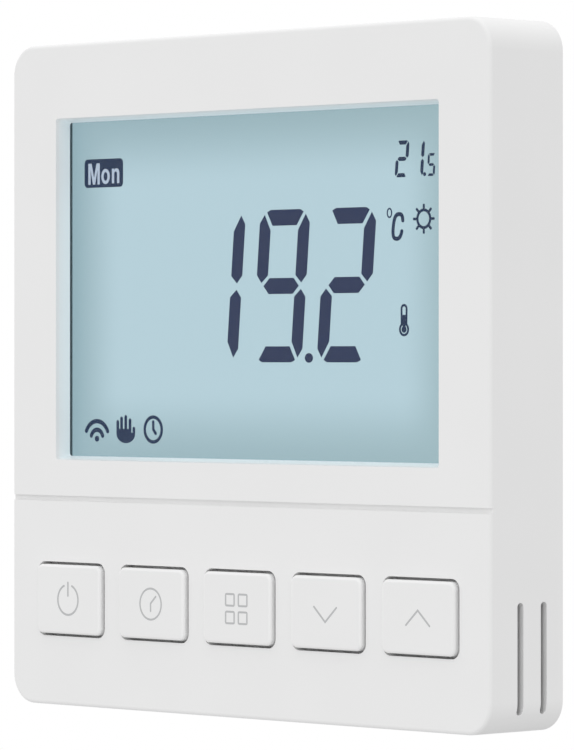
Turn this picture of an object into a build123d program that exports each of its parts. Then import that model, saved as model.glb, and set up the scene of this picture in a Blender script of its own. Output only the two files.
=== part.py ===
from build123d import *
import os

# Wall thermostat: a display unit that plugs onto a mains base unit in a flush wall box.
# All sizes are in millimetres. +X is the right-hand side seen from the front, +Z is up and the
# front faces -Y. The origin is the centre of the face that lies on the wall, so everything with a
# positive Y stands inside the wall box.

os.makedirs("parts", exist_ok=True)

# Front cover
FACE_SIZE = 86.0
COVER_DEPTH = 12.8
WALL_GAP = 0.2
CORNER_R = 3.8
EDGE_R = 0.5
FRONT_WALL = 2.0
SIDE_WALL = 1.8

# Display window, with a sloped reveal
WINDOW_W = 69.0
WINDOW_H = 44.4
WINDOW_Z = 11.1
WINDOW_R = 0.4
REVEAL = 0.5

# Groove between the display and the row of buttons
GROOVE_Z = -16.1
GROOVE_W = 0.7
GROOVE_DEPTH = 0.45

# Air slots in both sides
VENT_DEPTHS = (5.27, 9.39)
VENT_W = 1.05
VENT_H = 13.5
VENT_Z = -33.95

# Notch under the lower edge, for the screwdriver that pries the front unit off
PRY_NOTCH_W = 8.0
PRY_NOTCH_DEPTH = 1.2

# Row of buttons
BUTTON_NAMES = ("power", "timer", "menu", "down", "up")
BUTTON_PITCH = 15.75
BUTTON_Z = -29.19
CAP_W = 12.2
CAP_H = 8.97
CAP_R = 0.95
CAP_EDGE_R = 0.35
CAP_PROUD = 0.6
CAP_WALL = 1.0
CAP_GAP = 0.35
FLANGE_EXTRA = 0.8
FLANGE_T = 0.8
CAP_BACKLASH = 0.05
POST_R = 1.6

# Push switches behind the buttons
SWITCH_SIZE = 6.0
SWITCH_BODY_H = 2.3
SWITCH_PLATE_T = 0.3
SWITCH_FLOOR = 0.6
SWITCH_WELL_R = 2.2
PLUNGER_R = 1.7
PLUNGER_FLANGE_R = 2.05
PLUNGER_FLANGE_T = 1.0
PLUNGER_RISE = 0.5
DOME_T = 0.15
SWITCH_LEG_W = 3.0
SWITCH_LEG_T = 0.2

# Display stack
LENS_T = 1.0
LENS_MARGIN = 1.8
LENS_R = 0.8
LENS_TAPE_T = 0.1
GLASS_W = 72.4
GLASS_BOTTOM = -13.4
GLASS_TOP = 34.4
GLASS_T = 0.7
CONTACT_LEDGE = 1.8
DIFFUSER_T = 0.3
GUIDE_T = 1.2
REFLECTOR_T = 0.2
LED_SIZE = 1.6
LED_LENGTH = 3.2
LED_H = 1.1
LED_ZS = (-4.0, 6.5, 17.0, 27.5)
ZEBRA_W = 66.0
HOLDER_WALL = 1.2
HOLDER_GAP = 0.2
HOLDER_R = 1.2
HOLDER_PEG_R = 0.6
HOLDER_PEG_LENGTH = 1.8
HOLDER_PEG_ZS = (-8.0, 30.0)

# Main board
BOARD_SIZE = 80.8
BOARD_T = 1.2
BOARD_SCREW_R = 1.0
BOARD_SCREW_LENGTH = 4.6
SCREW_HEAD_R = 1.9
SCREW_HEAD_H = 1.2
SCREW_CROSS = 2.0
SCREW_CROSS_W = 0.5
SCREW_CLEARANCE = 0.15
BOSS_FIT = 0.03
BOARD_SCREW_PLACES = ((-26, 38.6), (26, 38.6), (-36.2, -19.2), (36.2, -19.2), (-24, -38.3), (24, -38.3))
BOSS_R = 2.2

# Parts on the rear of the main board
CHIP_PLACE = (14.0, 4.0)
CHIP_SIZE = 10.0
CHIP_H = 1.3
CHIP_CHAMFER = 0.25
CHIP_LEADS = 11
CHIP_LEAD_PITCH = 0.8
CHIP_LEAD_SIZE = (0.35, 1.2, 0.5)
CRYSTAL_X = 22.0
CRYSTAL_Z = -2.0
CRYSTAL_R = 1.0
CRYSTAL_LENGTH = 6.0
WIFI_PLACE = (-23.7, 29.6)
WIFI_SIZE = (16.6, 13.2, 0.8)
SHIELD_PLACE = (-21.9, 29.6)
SHIELD_SIZE = (12.2, 12.0, 1.6)
SENSOR_PLACE = (39.7, -30.5)
SENSOR_R = 0.8
SENSOR_LENGTH = 1.4
SENSOR_LEG = (0.3, 2.0)
SOCKET_H = 2.4

# Friction pegs that hold the front unit on the base unit
PEG_SPACING_X = 73.2
PEG_SPACING_Z = 77.0
PEG_R = 1.5
PEG_FIT = 0.05
PEG_LENGTH = 6.6
PEG_SOCKET_R = 2.4
PEG_SOCKET_DEPTH = 5.6
PEG_SOCKET_Y = -3.6
PEG_NOTCH_GAP = 0.4
PEG_SPLIT = (0.7, 4.5)
PEG_TIP = 0.5
SOCKET_WEB = (2.0, 1.2)

# Base unit: plate on the wall, box in the wall
PLATE_SIZE = 81.8
PLATE_T = 1.8
BOX_SIZE = 48.0
BOX_R = 11.5
BOX_DEPTH = 18.0
BOX_WALL = 1.4
BOX_EDGE_R = 1.5
STEP_Z = -10.4
STEP_Y = 14.0
SLOT_SPACING = 60.0
SLOT_R = 2.1
SLOT_LENGTH = 6.6
BRACKET_W = 71.0
BRACKET_H = 58.0
BRACKET_T = 1.0
STUD_PLACES = ((-32.5, -25.2), (32.5, -25.2), (-32.5, 25.2), (32.5, 25.2))
BRACKET_R = 3.0
STUD_R = 1.2
STUD_PROUD = 0.3
COVER_PLATE_SIZE = 49.6
COVER_PLATE_R = 8.0
COVER_EDGE_R = 0.3
COVER_SCREW_PLACES = ((-13.5, 19.6), (13.5, 19.6), (-20, -6.6), (20, -6.6))
COVER_SCREW_LENGTH = 8.5
COVER_SCREW_HEAD_H = 0.8
COVER_BOSS_DEPTH = 6.8
FIT_GAP = 0.3
COOLING_XS = (-10.0, -5.0, 0.0, 5.0, 10.0)
COOLING_SIZE = (9.0, 1.6)
COOLING_Y = 8.5

# Power board: its rear face carries the parts that stand in the box
POWER_BOARD_T = 1.6
POWER_BOARD_REAR_Y = 0.2

# Wiring terminals
POLES = 6
POLE_PITCH = 5.08
TERMINAL_TOP_Y = 12.4
TERMINAL_BOTTOM = -21.4
TERMINAL_TOP = -11.6
TERMINAL_SCREW_Z = -17.0
TERMINAL_HOLE_R = 1.95
TERMINAL_FLOOR_Y = 7.0
WIRE_Y = 4.8
WIRE_ENTRY = (3.8, 5.6)
WIRE_ENTRY_FLOOR = 2.0
WIRE_WINDOW = (30.0, 6.0)
CLAMP_SIZE = (3.6, 5.2, 5.6)
CLAMP_HOLE = (2.7, 3.2)
CLAMP_HOLE_Y = 4.4
CLAMP_BOTTOM = -20.0
CLAMP_THREAD_R = 1.3
CLAMP_SCREW_R = 1.25
CLAMP_SCREW_YS = (5.2, 9.8, 11.6)
CLAMP_SCREW_HEAD_R = 1.75
CLAMP_SCREW_SLOT = (0.6, 0.7)

# Plug between the two boards
PIN_PITCH = 2.54
PIN_COLUMNS = 4
PIN_ROWS = 2
PIN_SIZE = 0.64
PIN_GAP = 0.02
PIN_HOLE = 0.8
HEADER_BASE_H = 1.2
PLUG_Z = 19.17

# Transformer of the power supply
TRANSFORMER_X = 12.0
TRANSFORMER_Z = 9.5
TRANSFORMER_Y = 8.8
BOBBIN_SIZE = (14.0, 11.8, 2.6)
CORE_SIZE = (13.0, 12.0, 6.0)
CORE_WINDOW = (3.1, 8.2)
CORE_WINDOW_OUT = 3.15
WINDING_SIZE = (9.0, 9.6, 7.6)
WINDING_HOLE = (3.2, 6.0)
WINDING_Y = 5.0

# Other parts of the power supply: place, then size; heights end where they stand in the box
BIG_CAN = ((-12.8, -3.2), 5.0, 13.0)
SMALL_CAN = ((-4.0, -6.6), 3.15, 11.0)
FILM_PLACE = (6.9, -7.5)
FILM_SIZE = (13.0, 5.0, 11.0)
VARISTOR_PLACE = (5.0, 4.6)
VARISTOR_R = 3.8
VARISTOR_T = 3.4
VARISTOR_BOTTOM = -3.2
VARISTOR_LEG_R = 0.3
FUSE_PLACE = (14.2, -1.6)
FUSE_SIZE = (8.4, 4.0, 7.7)
DIODE_XS = (9.0, 12.0, 15.0, 18.0)
DIODE_Z = 2.1
DIODE_R = 1.3
DIODE_TOP_Y = 5.2
SUPPLY_CHIP_PLACE = (-3.6, 0.0)
SUPPLY_CHIP_SIZE = (4.9, 3.9, 1.5)
SUPPLY_LEAD_SIZE = (0.4, 1.2, 0.6)

# Relay that switches the load
RELAY_LEFT = -20.0
RELAY_RIGHT = 1.8
RELAY_Z = 10.3
RELAY_W = 12.7
RELAY_TOP_Y = 15.7
RELAY_FLOOR_Y = 1.2
RELAY_WALL = 0.8
CORE_Y = 7.8
CORE_R = 1.8
POLE_X = -1.6
COIL_LEFT = -17.1
COIL_RIGHT = -2.1
COIL_R = 4.7
FORMER_WALL = 0.8
FORMER_FLANGE = 10.2
YOKE_T = 1.3
YOKE_H = 9.0
YOKE_RIGHT = -1.2
YOKE_BOTTOM_Y = 3.2
YOKE_TOP_Y = 14.4
ARMATURE_X = -0.4
ARMATURE_SIZE = (1.2, 8.3, 8.6)
ARMATURE_Y = 10.05
BLADE_X = 0.35
BLADE_SIZE = (0.3, 6.4, 5.0)
BLADE_Y = 5.6
CONTACT_R = 1.3
CONTACT_Y = 3.9
MOVING_CONTACT = (-0.35, 0.6)
FIXED_CONTACT = (-1.6, 0.5)
FIXED_BLADE_X = -1.75
FIXED_BLADE_SIZE = (0.4, 4.2, 4.0)
FIXED_BLADE_Y = 3.3

# Derived places
face_y = -(COVER_DEPTH + WALL_GAP)
inside_y = face_y + FRONT_WALL
rim_y = -WALL_GAP
inside_size = FACE_SIZE - 2 * SIDE_WALL
button_xs = [(i - 2) * BUTTON_PITCH for i in range(len(BUTTON_NAMES))]
button_places = [(x, BUTTON_Z) for x in button_xs]
lens_back_y = inside_y + LENS_T
glass_y = lens_back_y + LENS_TAPE_T
rear_glass_y = glass_y + GLASS_T
diffuser_y = rear_glass_y + GLASS_T
guide_y = diffuser_y + DIFFUSER_T
reflector_y = guide_y + GUIDE_T
board_y = reflector_y + REFLECTOR_T
board_back_y = board_y + BOARD_T
glass_height = GLASS_TOP - GLASS_BOTTOM
glass_z = (GLASS_TOP + GLASS_BOTTOM) / 2
lit_bottom = GLASS_BOTTOM + CONTACT_LEDGE + HOLDER_GAP
lit_height = GLASS_TOP - HOLDER_GAP - lit_bottom
lit_z = lit_bottom + lit_height / 2
holder_peg_x = GLASS_W / 2 + HOLDER_GAP + 0.75 * HOLDER_WALL
holder_places = [(x, z) for x in (-holder_peg_x, holder_peg_x) for z in HOLDER_PEG_ZS]
plate_y = -PLATE_T
bracket_y = plate_y - BRACKET_T
power_board_front_y = POWER_BOARD_REAR_Y - POWER_BOARD_T
box_inside = BOX_SIZE - 2 * BOX_WALL
floor_y = BOX_DEPTH - BOX_WALL
step_floor_y = STEP_Y - BOX_WALL
pole_xs = [(i - (POLES - 1) / 2) * POLE_PITCH for i in range(POLES)]
slot_places = ((-SLOT_SPACING / 2, 0), (SLOT_SPACING / 2, 0))
relay_x = (RELAY_LEFT + RELAY_RIGHT) / 2
relay_length = RELAY_RIGHT - RELAY_LEFT
coil_length = COIL_RIGHT - COIL_LEFT
yoke_left = COIL_LEFT - YOKE_T
switch_top_y = board_y - SWITCH_BODY_H
plunger_top_y = switch_top_y - SWITCH_PLATE_T - PLUNGER_RISE
cap_back_y = inside_y + CAP_BACKLASH
flange_back_y = cap_back_y + FLANGE_T
cap_front_y = face_y - CAP_PROUD


def facing_front(y):
    """Sketch plane at depth y: local x is X, local y is Z, and it extrudes towards the front."""
    return Plane.XZ.offset(-y)


# ---------------------------------------------------------------- front unit: cover

with BuildPart() as front_cover:
    with BuildSketch(facing_front(rim_y)):
        RectangleRounded(FACE_SIZE, FACE_SIZE, CORNER_R)
    extrude(amount=COVER_DEPTH)
    fillet(front_cover.faces().sort_by(Axis.Y)[0].edges(), EDGE_R)
    with BuildSketch(facing_front(rim_y)):
        RectangleRounded(inside_size, inside_size, CORNER_R - SIDE_WALL)
    extrude(amount=COVER_DEPTH - FRONT_WALL, mode=Mode.SUBTRACT)
    # display window, narrowing to the lens
    with BuildSketch(facing_front(face_y)):
        with Locations((0, WINDOW_Z)):
            RectangleRounded(WINDOW_W, WINDOW_H, WINDOW_R)
    with BuildSketch(facing_front(inside_y)):
        with Locations((0, WINDOW_Z)):
            RectangleRounded(WINDOW_W - 2 * REVEAL, WINDOW_H - 2 * REVEAL, WINDOW_R)
    loft(mode=Mode.SUBTRACT)
    # five button apertures
    with BuildSketch(facing_front(inside_y)):
        with Locations(*button_places):
            RectangleRounded(CAP_W + 2 * CAP_GAP, CAP_H + 2 * CAP_GAP, CAP_R + CAP_GAP)
    extrude(amount=FRONT_WALL, mode=Mode.SUBTRACT)
    # decorative groove, which runs out over the rounded front edge
    with BuildSketch(facing_front(face_y)):
        with Locations((0, GROOVE_Z)):
            Rectangle(FACE_SIZE, GROOVE_W)
    extrude(amount=-GROOVE_DEPTH, mode=Mode.SUBTRACT)
    # two air slots in each side wall
    with BuildSketch(Plane.YZ):
        with Locations(*[(face_y + depth, VENT_Z) for depth in VENT_DEPTHS]):
            SlotOverall(VENT_H, VENT_W, rotation=90)
    extrude(amount=FACE_SIZE, both=True, mode=Mode.SUBTRACT)
    # notch under the lower edge for a screwdriver
    with BuildSketch(facing_front(rim_y)):
        with Locations((0, -FACE_SIZE / 2)):
            Rectangle(PRY_NOTCH_W, 2.5 * SIDE_WALL)
    extrude(amount=PRY_NOTCH_DEPTH, mode=Mode.SUBTRACT)
    # sockets for the pegs of the base unit, each tied to the nearest long wall
    with BuildSketch(facing_front(PEG_SOCKET_Y)):
        with GridLocations(PEG_SPACING_X, PEG_SPACING_Z, 2, 2):
            Circle(PEG_SOCKET_R)
        with GridLocations(PEG_SPACING_X, inside_size - 1.0, 2, 2):
            Rectangle(*SOCKET_WEB)
    extrude(amount=PEG_SOCKET_Y - inside_y)
    with BuildSketch(facing_front(PEG_SOCKET_Y)):
        with GridLocations(PEG_SPACING_X, PEG_SPACING_Z, 2, 2):
            Circle(PEG_R + PEG_FIT)
    extrude(amount=PEG_SOCKET_DEPTH, mode=Mode.SUBTRACT)
    # screw bosses for the main board
    with BuildSketch(facing_front(board_y)):
        with Locations(*BOARD_SCREW_PLACES):
            Circle(BOSS_R)
            Circle(BOARD_SCREW_R + BOSS_FIT, mode=Mode.SUBTRACT)
    extrude(amount=board_y - inside_y)
front_cover.part.label = "front_cover"
export_step(front_cover.part, "parts/front_cover.step")

# ---------------------------------------------------------------- front unit: display

with BuildPart() as display_lens:
    with BuildSketch(facing_front(lens_back_y)):
        with Locations((0, WINDOW_Z)):
            lens_w = WINDOW_W - 2 * REVEAL + 2 * LENS_MARGIN
            lens_h = WINDOW_H - 2 * REVEAL + 2 * LENS_MARGIN
            RectangleRounded(lens_w, lens_h, LENS_R)
    extrude(amount=LENS_T)
display_lens.part.label = "display_lens"
export_step(display_lens.part, "parts/display_lens.step")

with BuildPart() as lcd_front_glass:
    with BuildSketch(facing_front(rear_glass_y)):
        with Locations((0, glass_z)):
            Rectangle(GLASS_W, glass_height)
    extrude(amount=GLASS_T)
lcd_front_glass.part.label = "lcd_front_glass"
export_step(lcd_front_glass.part, "parts/lcd_front_glass.step")

with BuildPart() as lcd_rear_glass:
    with BuildSketch(facing_front(diffuser_y)):
        with Locations((0, glass_z + CONTACT_LEDGE / 2)):
            Rectangle(GLASS_W, glass_height - CONTACT_LEDGE)
    extrude(amount=GLASS_T)
lcd_rear_glass.part.label = "lcd_rear_glass"
export_step(lcd_rear_glass.part, "parts/lcd_rear_glass.step")

with BuildPart() as backlight_diffuser:
    with BuildSketch(facing_front(guide_y)):
        with Locations((0, lit_z)):
            Rectangle(GLASS_W, lit_height)
    extrude(amount=DIFFUSER_T)
backlight_diffuser.part.label = "backlight_diffuser"
export_step(backlight_diffuser.part, "parts/backlight_diffuser.step")

guide_width = GLASS_W - LED_SIZE - 2 * HOLDER_GAP
guide_x = -(LED_SIZE + 2 * HOLDER_GAP) / 2

with BuildPart() as light_guide:
    with BuildSketch(facing_front(reflector_y)):
        with Locations((guide_x, lit_z)):
            Rectangle(guide_width, lit_height)
    extrude(amount=GUIDE_T)
light_guide.part.label = "light_guide"
export_step(light_guide.part, "parts/light_guide.step")

with BuildPart() as backlight_reflector:
    with BuildSketch(facing_front(board_y)):
        with Locations((guide_x, lit_z)):
            Rectangle(guide_width, lit_height)
    extrude(amount=REFLECTOR_T)
backlight_reflector.part.label = "backlight_reflector"
export_step(backlight_reflector.part, "parts/backlight_reflector.step")

with BuildPart() as backlight_leds:
    with BuildSketch(facing_front(board_y)):
        with Locations(*[(GLASS_W / 2 - LED_SIZE / 2, z) for z in LED_ZS]):
            Rectangle(LED_SIZE, LED_LENGTH)
    extrude(amount=LED_H)
backlight_leds.part.label = "backlight_leds"
export_step(backlight_leds.part, "parts/backlight_leds.step")

with BuildPart() as zebra_strip:
    with BuildSketch(facing_front(board_y)):
        with Locations((0, GLASS_BOTTOM + CONTACT_LEDGE / 2)):
            Rectangle(ZEBRA_W, CONTACT_LEDGE - 2 * HOLDER_GAP)
    extrude(amount=board_y - rear_glass_y)
zebra_strip.part.label = "zebra_strip"
export_step(zebra_strip.part, "parts/zebra_strip.step")

with BuildPart() as lcd_holder:
    holder_w = GLASS_W + 2 * HOLDER_GAP
    holder_h = glass_height + 2 * HOLDER_GAP
    with BuildSketch(facing_front(board_y)):
        with Locations((0, glass_z)):
            RectangleRounded(holder_w + 2 * HOLDER_WALL, holder_h + 2 * HOLDER_WALL, HOLDER_R)
            Rectangle(holder_w, holder_h, mode=Mode.SUBTRACT)
    extrude(amount=board_y - inside_y)
    # pegs that locate the holder on the main board
    with BuildSketch(facing_front(board_y)):
        with Locations(*holder_places):
            Circle(HOLDER_PEG_R)
    extrude(amount=-HOLDER_PEG_LENGTH)
lcd_holder.part.label = "lcd_holder"
export_step(lcd_holder.part, "parts/lcd_holder.step")

# ---------------------------------------------------------------- front unit: main board

with BuildPart() as main_board:
    notch_width = 2 * (PEG_SOCKET_R + PEG_NOTCH_GAP)
    notch_height = BOARD_SIZE - PEG_SPACING_Z + notch_width
    with BuildSketch(facing_front(board_back_y)):
        Rectangle(BOARD_SIZE, BOARD_SIZE)
        with GridLocations(PEG_SPACING_X, BOARD_SIZE, 2, 2):
            Rectangle(notch_width, notch_height, mode=Mode.SUBTRACT)
        with Locations(*BOARD_SCREW_PLACES):
            Circle(BOARD_SCREW_R + SCREW_CLEARANCE, mode=Mode.SUBTRACT)
        with Locations(*holder_places):
            Circle(HOLDER_PEG_R + 0.1, mode=Mode.SUBTRACT)
    extrude(amount=BOARD_T)
main_board.part.label = "main_board"
export_step(main_board.part, "parts/main_board.step")

with BuildPart() as board_screws:
    with BuildSketch(facing_front(board_back_y + SCREW_HEAD_H)):
        with Locations(*BOARD_SCREW_PLACES):
            Circle(SCREW_HEAD_R)
    extrude(amount=SCREW_HEAD_H)
    with BuildSketch(facing_front(board_back_y)):
        with Locations(*BOARD_SCREW_PLACES):
            Circle(BOARD_SCREW_R)
    extrude(amount=BOARD_SCREW_LENGTH)
    # cross recess
    with BuildSketch(facing_front(board_back_y + SCREW_HEAD_H)):
        with Locations(*BOARD_SCREW_PLACES):
            Rectangle(SCREW_CROSS, SCREW_CROSS_W)
            Rectangle(SCREW_CROSS_W, SCREW_CROSS)
    extrude(amount=0.6 * SCREW_HEAD_H, mode=Mode.SUBTRACT)
board_screws.part.label = "board_screws"
export_step(board_screws.part, "parts/board_screws.step")

with BuildPart() as microcontroller:
    with BuildSketch(facing_front(board_back_y + 0.1 + CHIP_H)):
        with Locations(CHIP_PLACE):
            Rectangle(CHIP_SIZE, CHIP_SIZE)
    extrude(amount=CHIP_H)
    chamfer(microcontroller.faces().sort_by(Axis.Y)[-1].edges(), CHIP_CHAMFER)
    # leads on all four sides
    lead_w, lead_l, lead_h = CHIP_LEAD_SIZE
    lead_rows = CHIP_SIZE + 1.0
    with BuildSketch(facing_front(board_back_y + lead_h)):
        with Locations(CHIP_PLACE):
            with GridLocations(CHIP_LEAD_PITCH, lead_rows, CHIP_LEADS, 2):
                Rectangle(lead_w, lead_l)
            with GridLocations(lead_rows, CHIP_LEAD_PITCH, 2, CHIP_LEADS):
                Rectangle(lead_l, lead_w)
    extrude(amount=lead_h)
microcontroller.part.label = "microcontroller"
export_step(microcontroller.part, "parts/microcontroller.step")

with BuildPart() as clock_crystal:
    with BuildSketch(Plane.YZ.offset(CRYSTAL_X)):
        with Locations((board_back_y + CRYSTAL_R, CRYSTAL_Z)):
            Circle(CRYSTAL_R)
    extrude(amount=CRYSTAL_LENGTH)
clock_crystal.part.label = "clock_crystal"
export_step(clock_crystal.part, "parts/clock_crystal.step")

with BuildPart() as wifi_board:
    wifi_w, wifi_h, wifi_t = WIFI_SIZE
    with BuildSketch(facing_front(board_back_y + wifi_t)):
        with Locations(WIFI_PLACE):
            Rectangle(wifi_w, wifi_h)
    extrude(amount=wifi_t)
wifi_board.part.label = "wifi_board"
export_step(wifi_board.part, "parts/wifi_board.step")

with BuildPart() as wifi_shield:
    shield_w, shield_h, shield_t = SHIELD_SIZE
    with BuildSketch(facing_front(board_back_y + wifi_t + shield_t)):
        with Locations(SHIELD_PLACE):
            RectangleRounded(shield_w, shield_h, 0.5)
    extrude(amount=shield_t)
    fillet(wifi_shield.faces().sort_by(Axis.Y)[-1].edges(), 0.3)
wifi_shield.part.label = "wifi_shield"
export_step(wifi_shield.part, "parts/wifi_shield.step")

with BuildPart() as temperature_sensor:
    leg_w, leg_length = SENSOR_LEG
    with BuildSketch(facing_front(board_y)):
        with Locations(SENSOR_PLACE):
            with GridLocations(2 * leg_w, 1.0, 2, 1):
                Rectangle(leg_w, leg_w)
    extrude(amount=leg_length)
    with BuildSketch(facing_front(board_y - leg_length + 0.1)):
        with Locations(SENSOR_PLACE):
            Circle(SENSOR_R)
    extrude(amount=SENSOR_LENGTH)
    fillet(temperature_sensor.faces().sort_by(Axis.Y)[0].edges(), 0.5)
temperature_sensor.part.label = "temperature_sensor"
export_step(temperature_sensor.part, "parts/temperature_sensor.step")

with BuildPart() as board_socket:
    with BuildSketch(facing_front(board_back_y + SOCKET_H)):
        with Locations((0, PLUG_Z)):
            Rectangle(PIN_COLUMNS * PIN_PITCH + 0.4, PIN_ROWS * PIN_PITCH)
            with GridLocations(PIN_PITCH, PIN_PITCH, PIN_COLUMNS, PIN_ROWS):
                Rectangle(PIN_HOLE, PIN_HOLE, mode=Mode.SUBTRACT)
    extrude(amount=SOCKET_H)
board_socket.part.label = "board_socket"
export_step(board_socket.part, "parts/board_socket.step")

# ---------------------------------------------------------------- front unit: switches and buttons

with BuildPart() as switch_bases:
    with BuildSketch(facing_front(board_y)):
        with Locations(*button_places):
            RectangleRounded(SWITCH_SIZE, SWITCH_SIZE, 0.5)
    extrude(amount=SWITCH_BODY_H)
    with BuildSketch(facing_front(switch_top_y)):
        with Locations(*button_places):
            Circle(SWITCH_WELL_R)
    extrude(amount=-(SWITCH_BODY_H - SWITCH_FLOOR), mode=Mode.SUBTRACT)
switch_bases.part.label = "switch_bases"
export_step(switch_bases.part, "parts/switch_bases.step")

with BuildPart() as switch_domes:
    with BuildSketch(facing_front(board_y - SWITCH_FLOOR)):
        with Locations(*button_places):
            Circle(SWITCH_WELL_R - 0.2)
    extrude(amount=DOME_T)
switch_domes.part.label = "switch_domes"
export_step(switch_domes.part, "parts/switch_domes.step")

with BuildPart() as switch_covers:
    with BuildSketch(facing_front(switch_top_y)):
        with Locations(*button_places):
            Rectangle(SWITCH_SIZE, SWITCH_SIZE + 2 * SWITCH_LEG_T)
            Circle(PLUNGER_R + 0.1, mode=Mode.SUBTRACT)
    extrude(amount=SWITCH_PLATE_T)
    # legs folded down beside each base
    with BuildSketch(facing_front(board_y)):
        for side in (-1, 1):
            leg_z = BUTTON_Z + side * (SWITCH_SIZE + SWITCH_LEG_T) / 2
            with Locations(*[(x, leg_z) for x in button_xs]):
                Rectangle(SWITCH_LEG_W, SWITCH_LEG_T)
    extrude(amount=SWITCH_BODY_H)
switch_covers.part.label = "switch_covers"
export_step(switch_covers.part, "parts/switch_covers.step")

for name, button_x in zip(BUTTON_NAMES, button_xs):
    with BuildPart() as cap:
        with BuildSketch(facing_front(cap_back_y)):
            with Locations((button_x, BUTTON_Z)):
                RectangleRounded(CAP_W, CAP_H, CAP_R)
        extrude(amount=cap_back_y - cap_front_y)
        fillet(cap.faces().sort_by(Axis.Y)[0].edges(), CAP_EDGE_R)
        # flange that keeps the cap behind the front wall
        with BuildSketch(facing_front(flange_back_y)):
            with Locations((button_x, BUTTON_Z)):
                RectangleRounded(CAP_W + 2 * FLANGE_EXTRA, CAP_H + 2 * FLANGE_EXTRA, CAP_R)
        extrude(amount=FLANGE_T)
        # hollow back with a post that bears on the switch
        with BuildSketch(facing_front(flange_back_y)):
            with Locations((button_x, BUTTON_Z)):
                Rectangle(CAP_W - 2 * CAP_WALL, CAP_H - 2 * CAP_WALL)
        extrude(amount=flange_back_y - cap_front_y - CAP_WALL, mode=Mode.SUBTRACT)
        with BuildSketch(facing_front(plunger_top_y)):
            with Locations((button_x, BUTTON_Z)):
                Circle(POST_R)
        extrude(amount=plunger_top_y - cap_front_y - CAP_WALL / 2)
    cap.part.label = f"{name}_button"
    export_step(cap.part, f"parts/{name}_button.step")

    with BuildPart() as plunger:
        with BuildSketch(facing_front(switch_top_y + 0.2)):
            with Locations((button_x, BUTTON_Z)):
                Circle(PLUNGER_R)
        extrude(amount=switch_top_y + 0.2 - plunger_top_y)
        with BuildSketch(facing_front(switch_top_y + 0.1 + PLUNGER_FLANGE_T)):
            with Locations((button_x, BUTTON_Z)):
                Circle(PLUNGER_FLANGE_R)
        extrude(amount=PLUNGER_FLANGE_T)
    plunger.part.label = f"{name}_plunger"
    export_step(plunger.part, f"parts/{name}_plunger.step")

# ---------------------------------------------------------------- base unit: housing and bracket

with BuildPart() as rear_housing:
    with BuildSketch(facing_front(0)):
        RectangleRounded(BOX_SIZE, BOX_SIZE, BOX_R)
    extrude(amount=-BOX_DEPTH)
    fillet(rear_housing.faces().sort_by(Axis.Y)[-1].edges(), BOX_EDGE_R)
    with BuildSketch(facing_front(0)):
        RectangleRounded(PLATE_SIZE, PLATE_SIZE, CORNER_R - SIDE_WALL)
    extrude(amount=PLATE_T)
    # lower part of the box is shallower, for the wires
    with BuildSketch(facing_front(STEP_Y)):
        with Locations((0, STEP_Z - BOX_SIZE / 2)):
            Rectangle(2 * BOX_SIZE, BOX_SIZE)
    extrude(amount=-BOX_DEPTH, mode=Mode.SUBTRACT)
    # room for the power board, down to each floor
    with BuildSketch(facing_front(plate_y)):
        RectangleRounded(box_inside, box_inside, BOX_R - BOX_WALL)
    extrude(amount=plate_y - step_floor_y, mode=Mode.SUBTRACT)
    with BuildSketch(facing_front(step_floor_y)):
        RectangleRounded(box_inside, box_inside, BOX_R - BOX_WALL)
        with Locations((0, STEP_Z + BOX_WALL - BOX_SIZE / 2)):
            Rectangle(2 * BOX_SIZE, BOX_SIZE, mode=Mode.SUBTRACT)
    extrude(amount=step_floor_y - floor_y, mode=Mode.SUBTRACT)
    # bosses under the power board
    with BuildSketch(facing_front(POWER_BOARD_REAR_Y)):
        with Locations(*COVER_SCREW_PLACES):
            Circle(BOSS_R)
    extrude(amount=POWER_BOARD_REAR_Y - floor_y)
    with BuildSketch(facing_front(POWER_BOARD_REAR_Y)):
        with Locations(*COVER_SCREW_PLACES):
            Circle(BOARD_SCREW_R + BOSS_FIT)
    extrude(amount=-COVER_BOSS_DEPTH, mode=Mode.SUBTRACT)
    # window for the wires, holes for the screwdriver and slots for cooling
    with BuildSketch(Plane.XY.offset(-BOX_SIZE / 2 - 1.0)):
        with Locations((0, WIRE_Y)):
            Rectangle(*WIRE_WINDOW)
    extrude(amount=1.0 + BOX_WALL + 1.0, mode=Mode.SUBTRACT)
    with BuildSketch(facing_front(step_floor_y)):
        with Locations(*[(x, TERMINAL_SCREW_Z) for x in pole_xs]):
            Circle(TERMINAL_HOLE_R)
    extrude(amount=-2 * BOX_WALL, mode=Mode.SUBTRACT)
    with BuildSketch(Plane.XY.offset(BOX_SIZE / 2 - 2 * BOX_WALL)):
        with Locations(*[(x, COOLING_Y) for x in COOLING_XS]):
            SlotOverall(*COOLING_SIZE, rotation=90)
    extrude(amount=3 * BOX_WALL, mode=Mode.SUBTRACT)
    # slots for the wall screws
    with BuildSketch(facing_front(0)):
        with Locations(*slot_places):
            SlotOverall(SLOT_LENGTH, 2 * SLOT_R)
    extrude(amount=PLATE_T, mode=Mode.SUBTRACT)
    # studs that hold the bracket
    with BuildSketch(facing_front(plate_y)):
        with Locations(*STUD_PLACES):
            Circle(STUD_R)
    extrude(amount=BRACKET_T + STUD_PROUD)
    # split pegs for the front unit
    with BuildSketch(facing_front(plate_y)):
        with GridLocations(PEG_SPACING_X, PEG_SPACING_Z, 2, 2):
            Circle(PEG_R)
    extrude(amount=PEG_LENGTH)
    chamfer(rear_housing.faces().filter_by(Axis.Y).group_by(Axis.Y)[0].edges(), PEG_TIP)
    split_width, split_depth = PEG_SPLIT
    with BuildSketch(facing_front(plate_y - PEG_LENGTH)):
        with GridLocations(PEG_SPACING_X, PEG_SPACING_Z, 2, 2):
            Rectangle(3 * PEG_R, split_width)
    extrude(amount=-split_depth, mode=Mode.SUBTRACT)
rear_housing.part.label = "rear_housing"
export_step(rear_housing.part, "parts/rear_housing.step")

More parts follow.
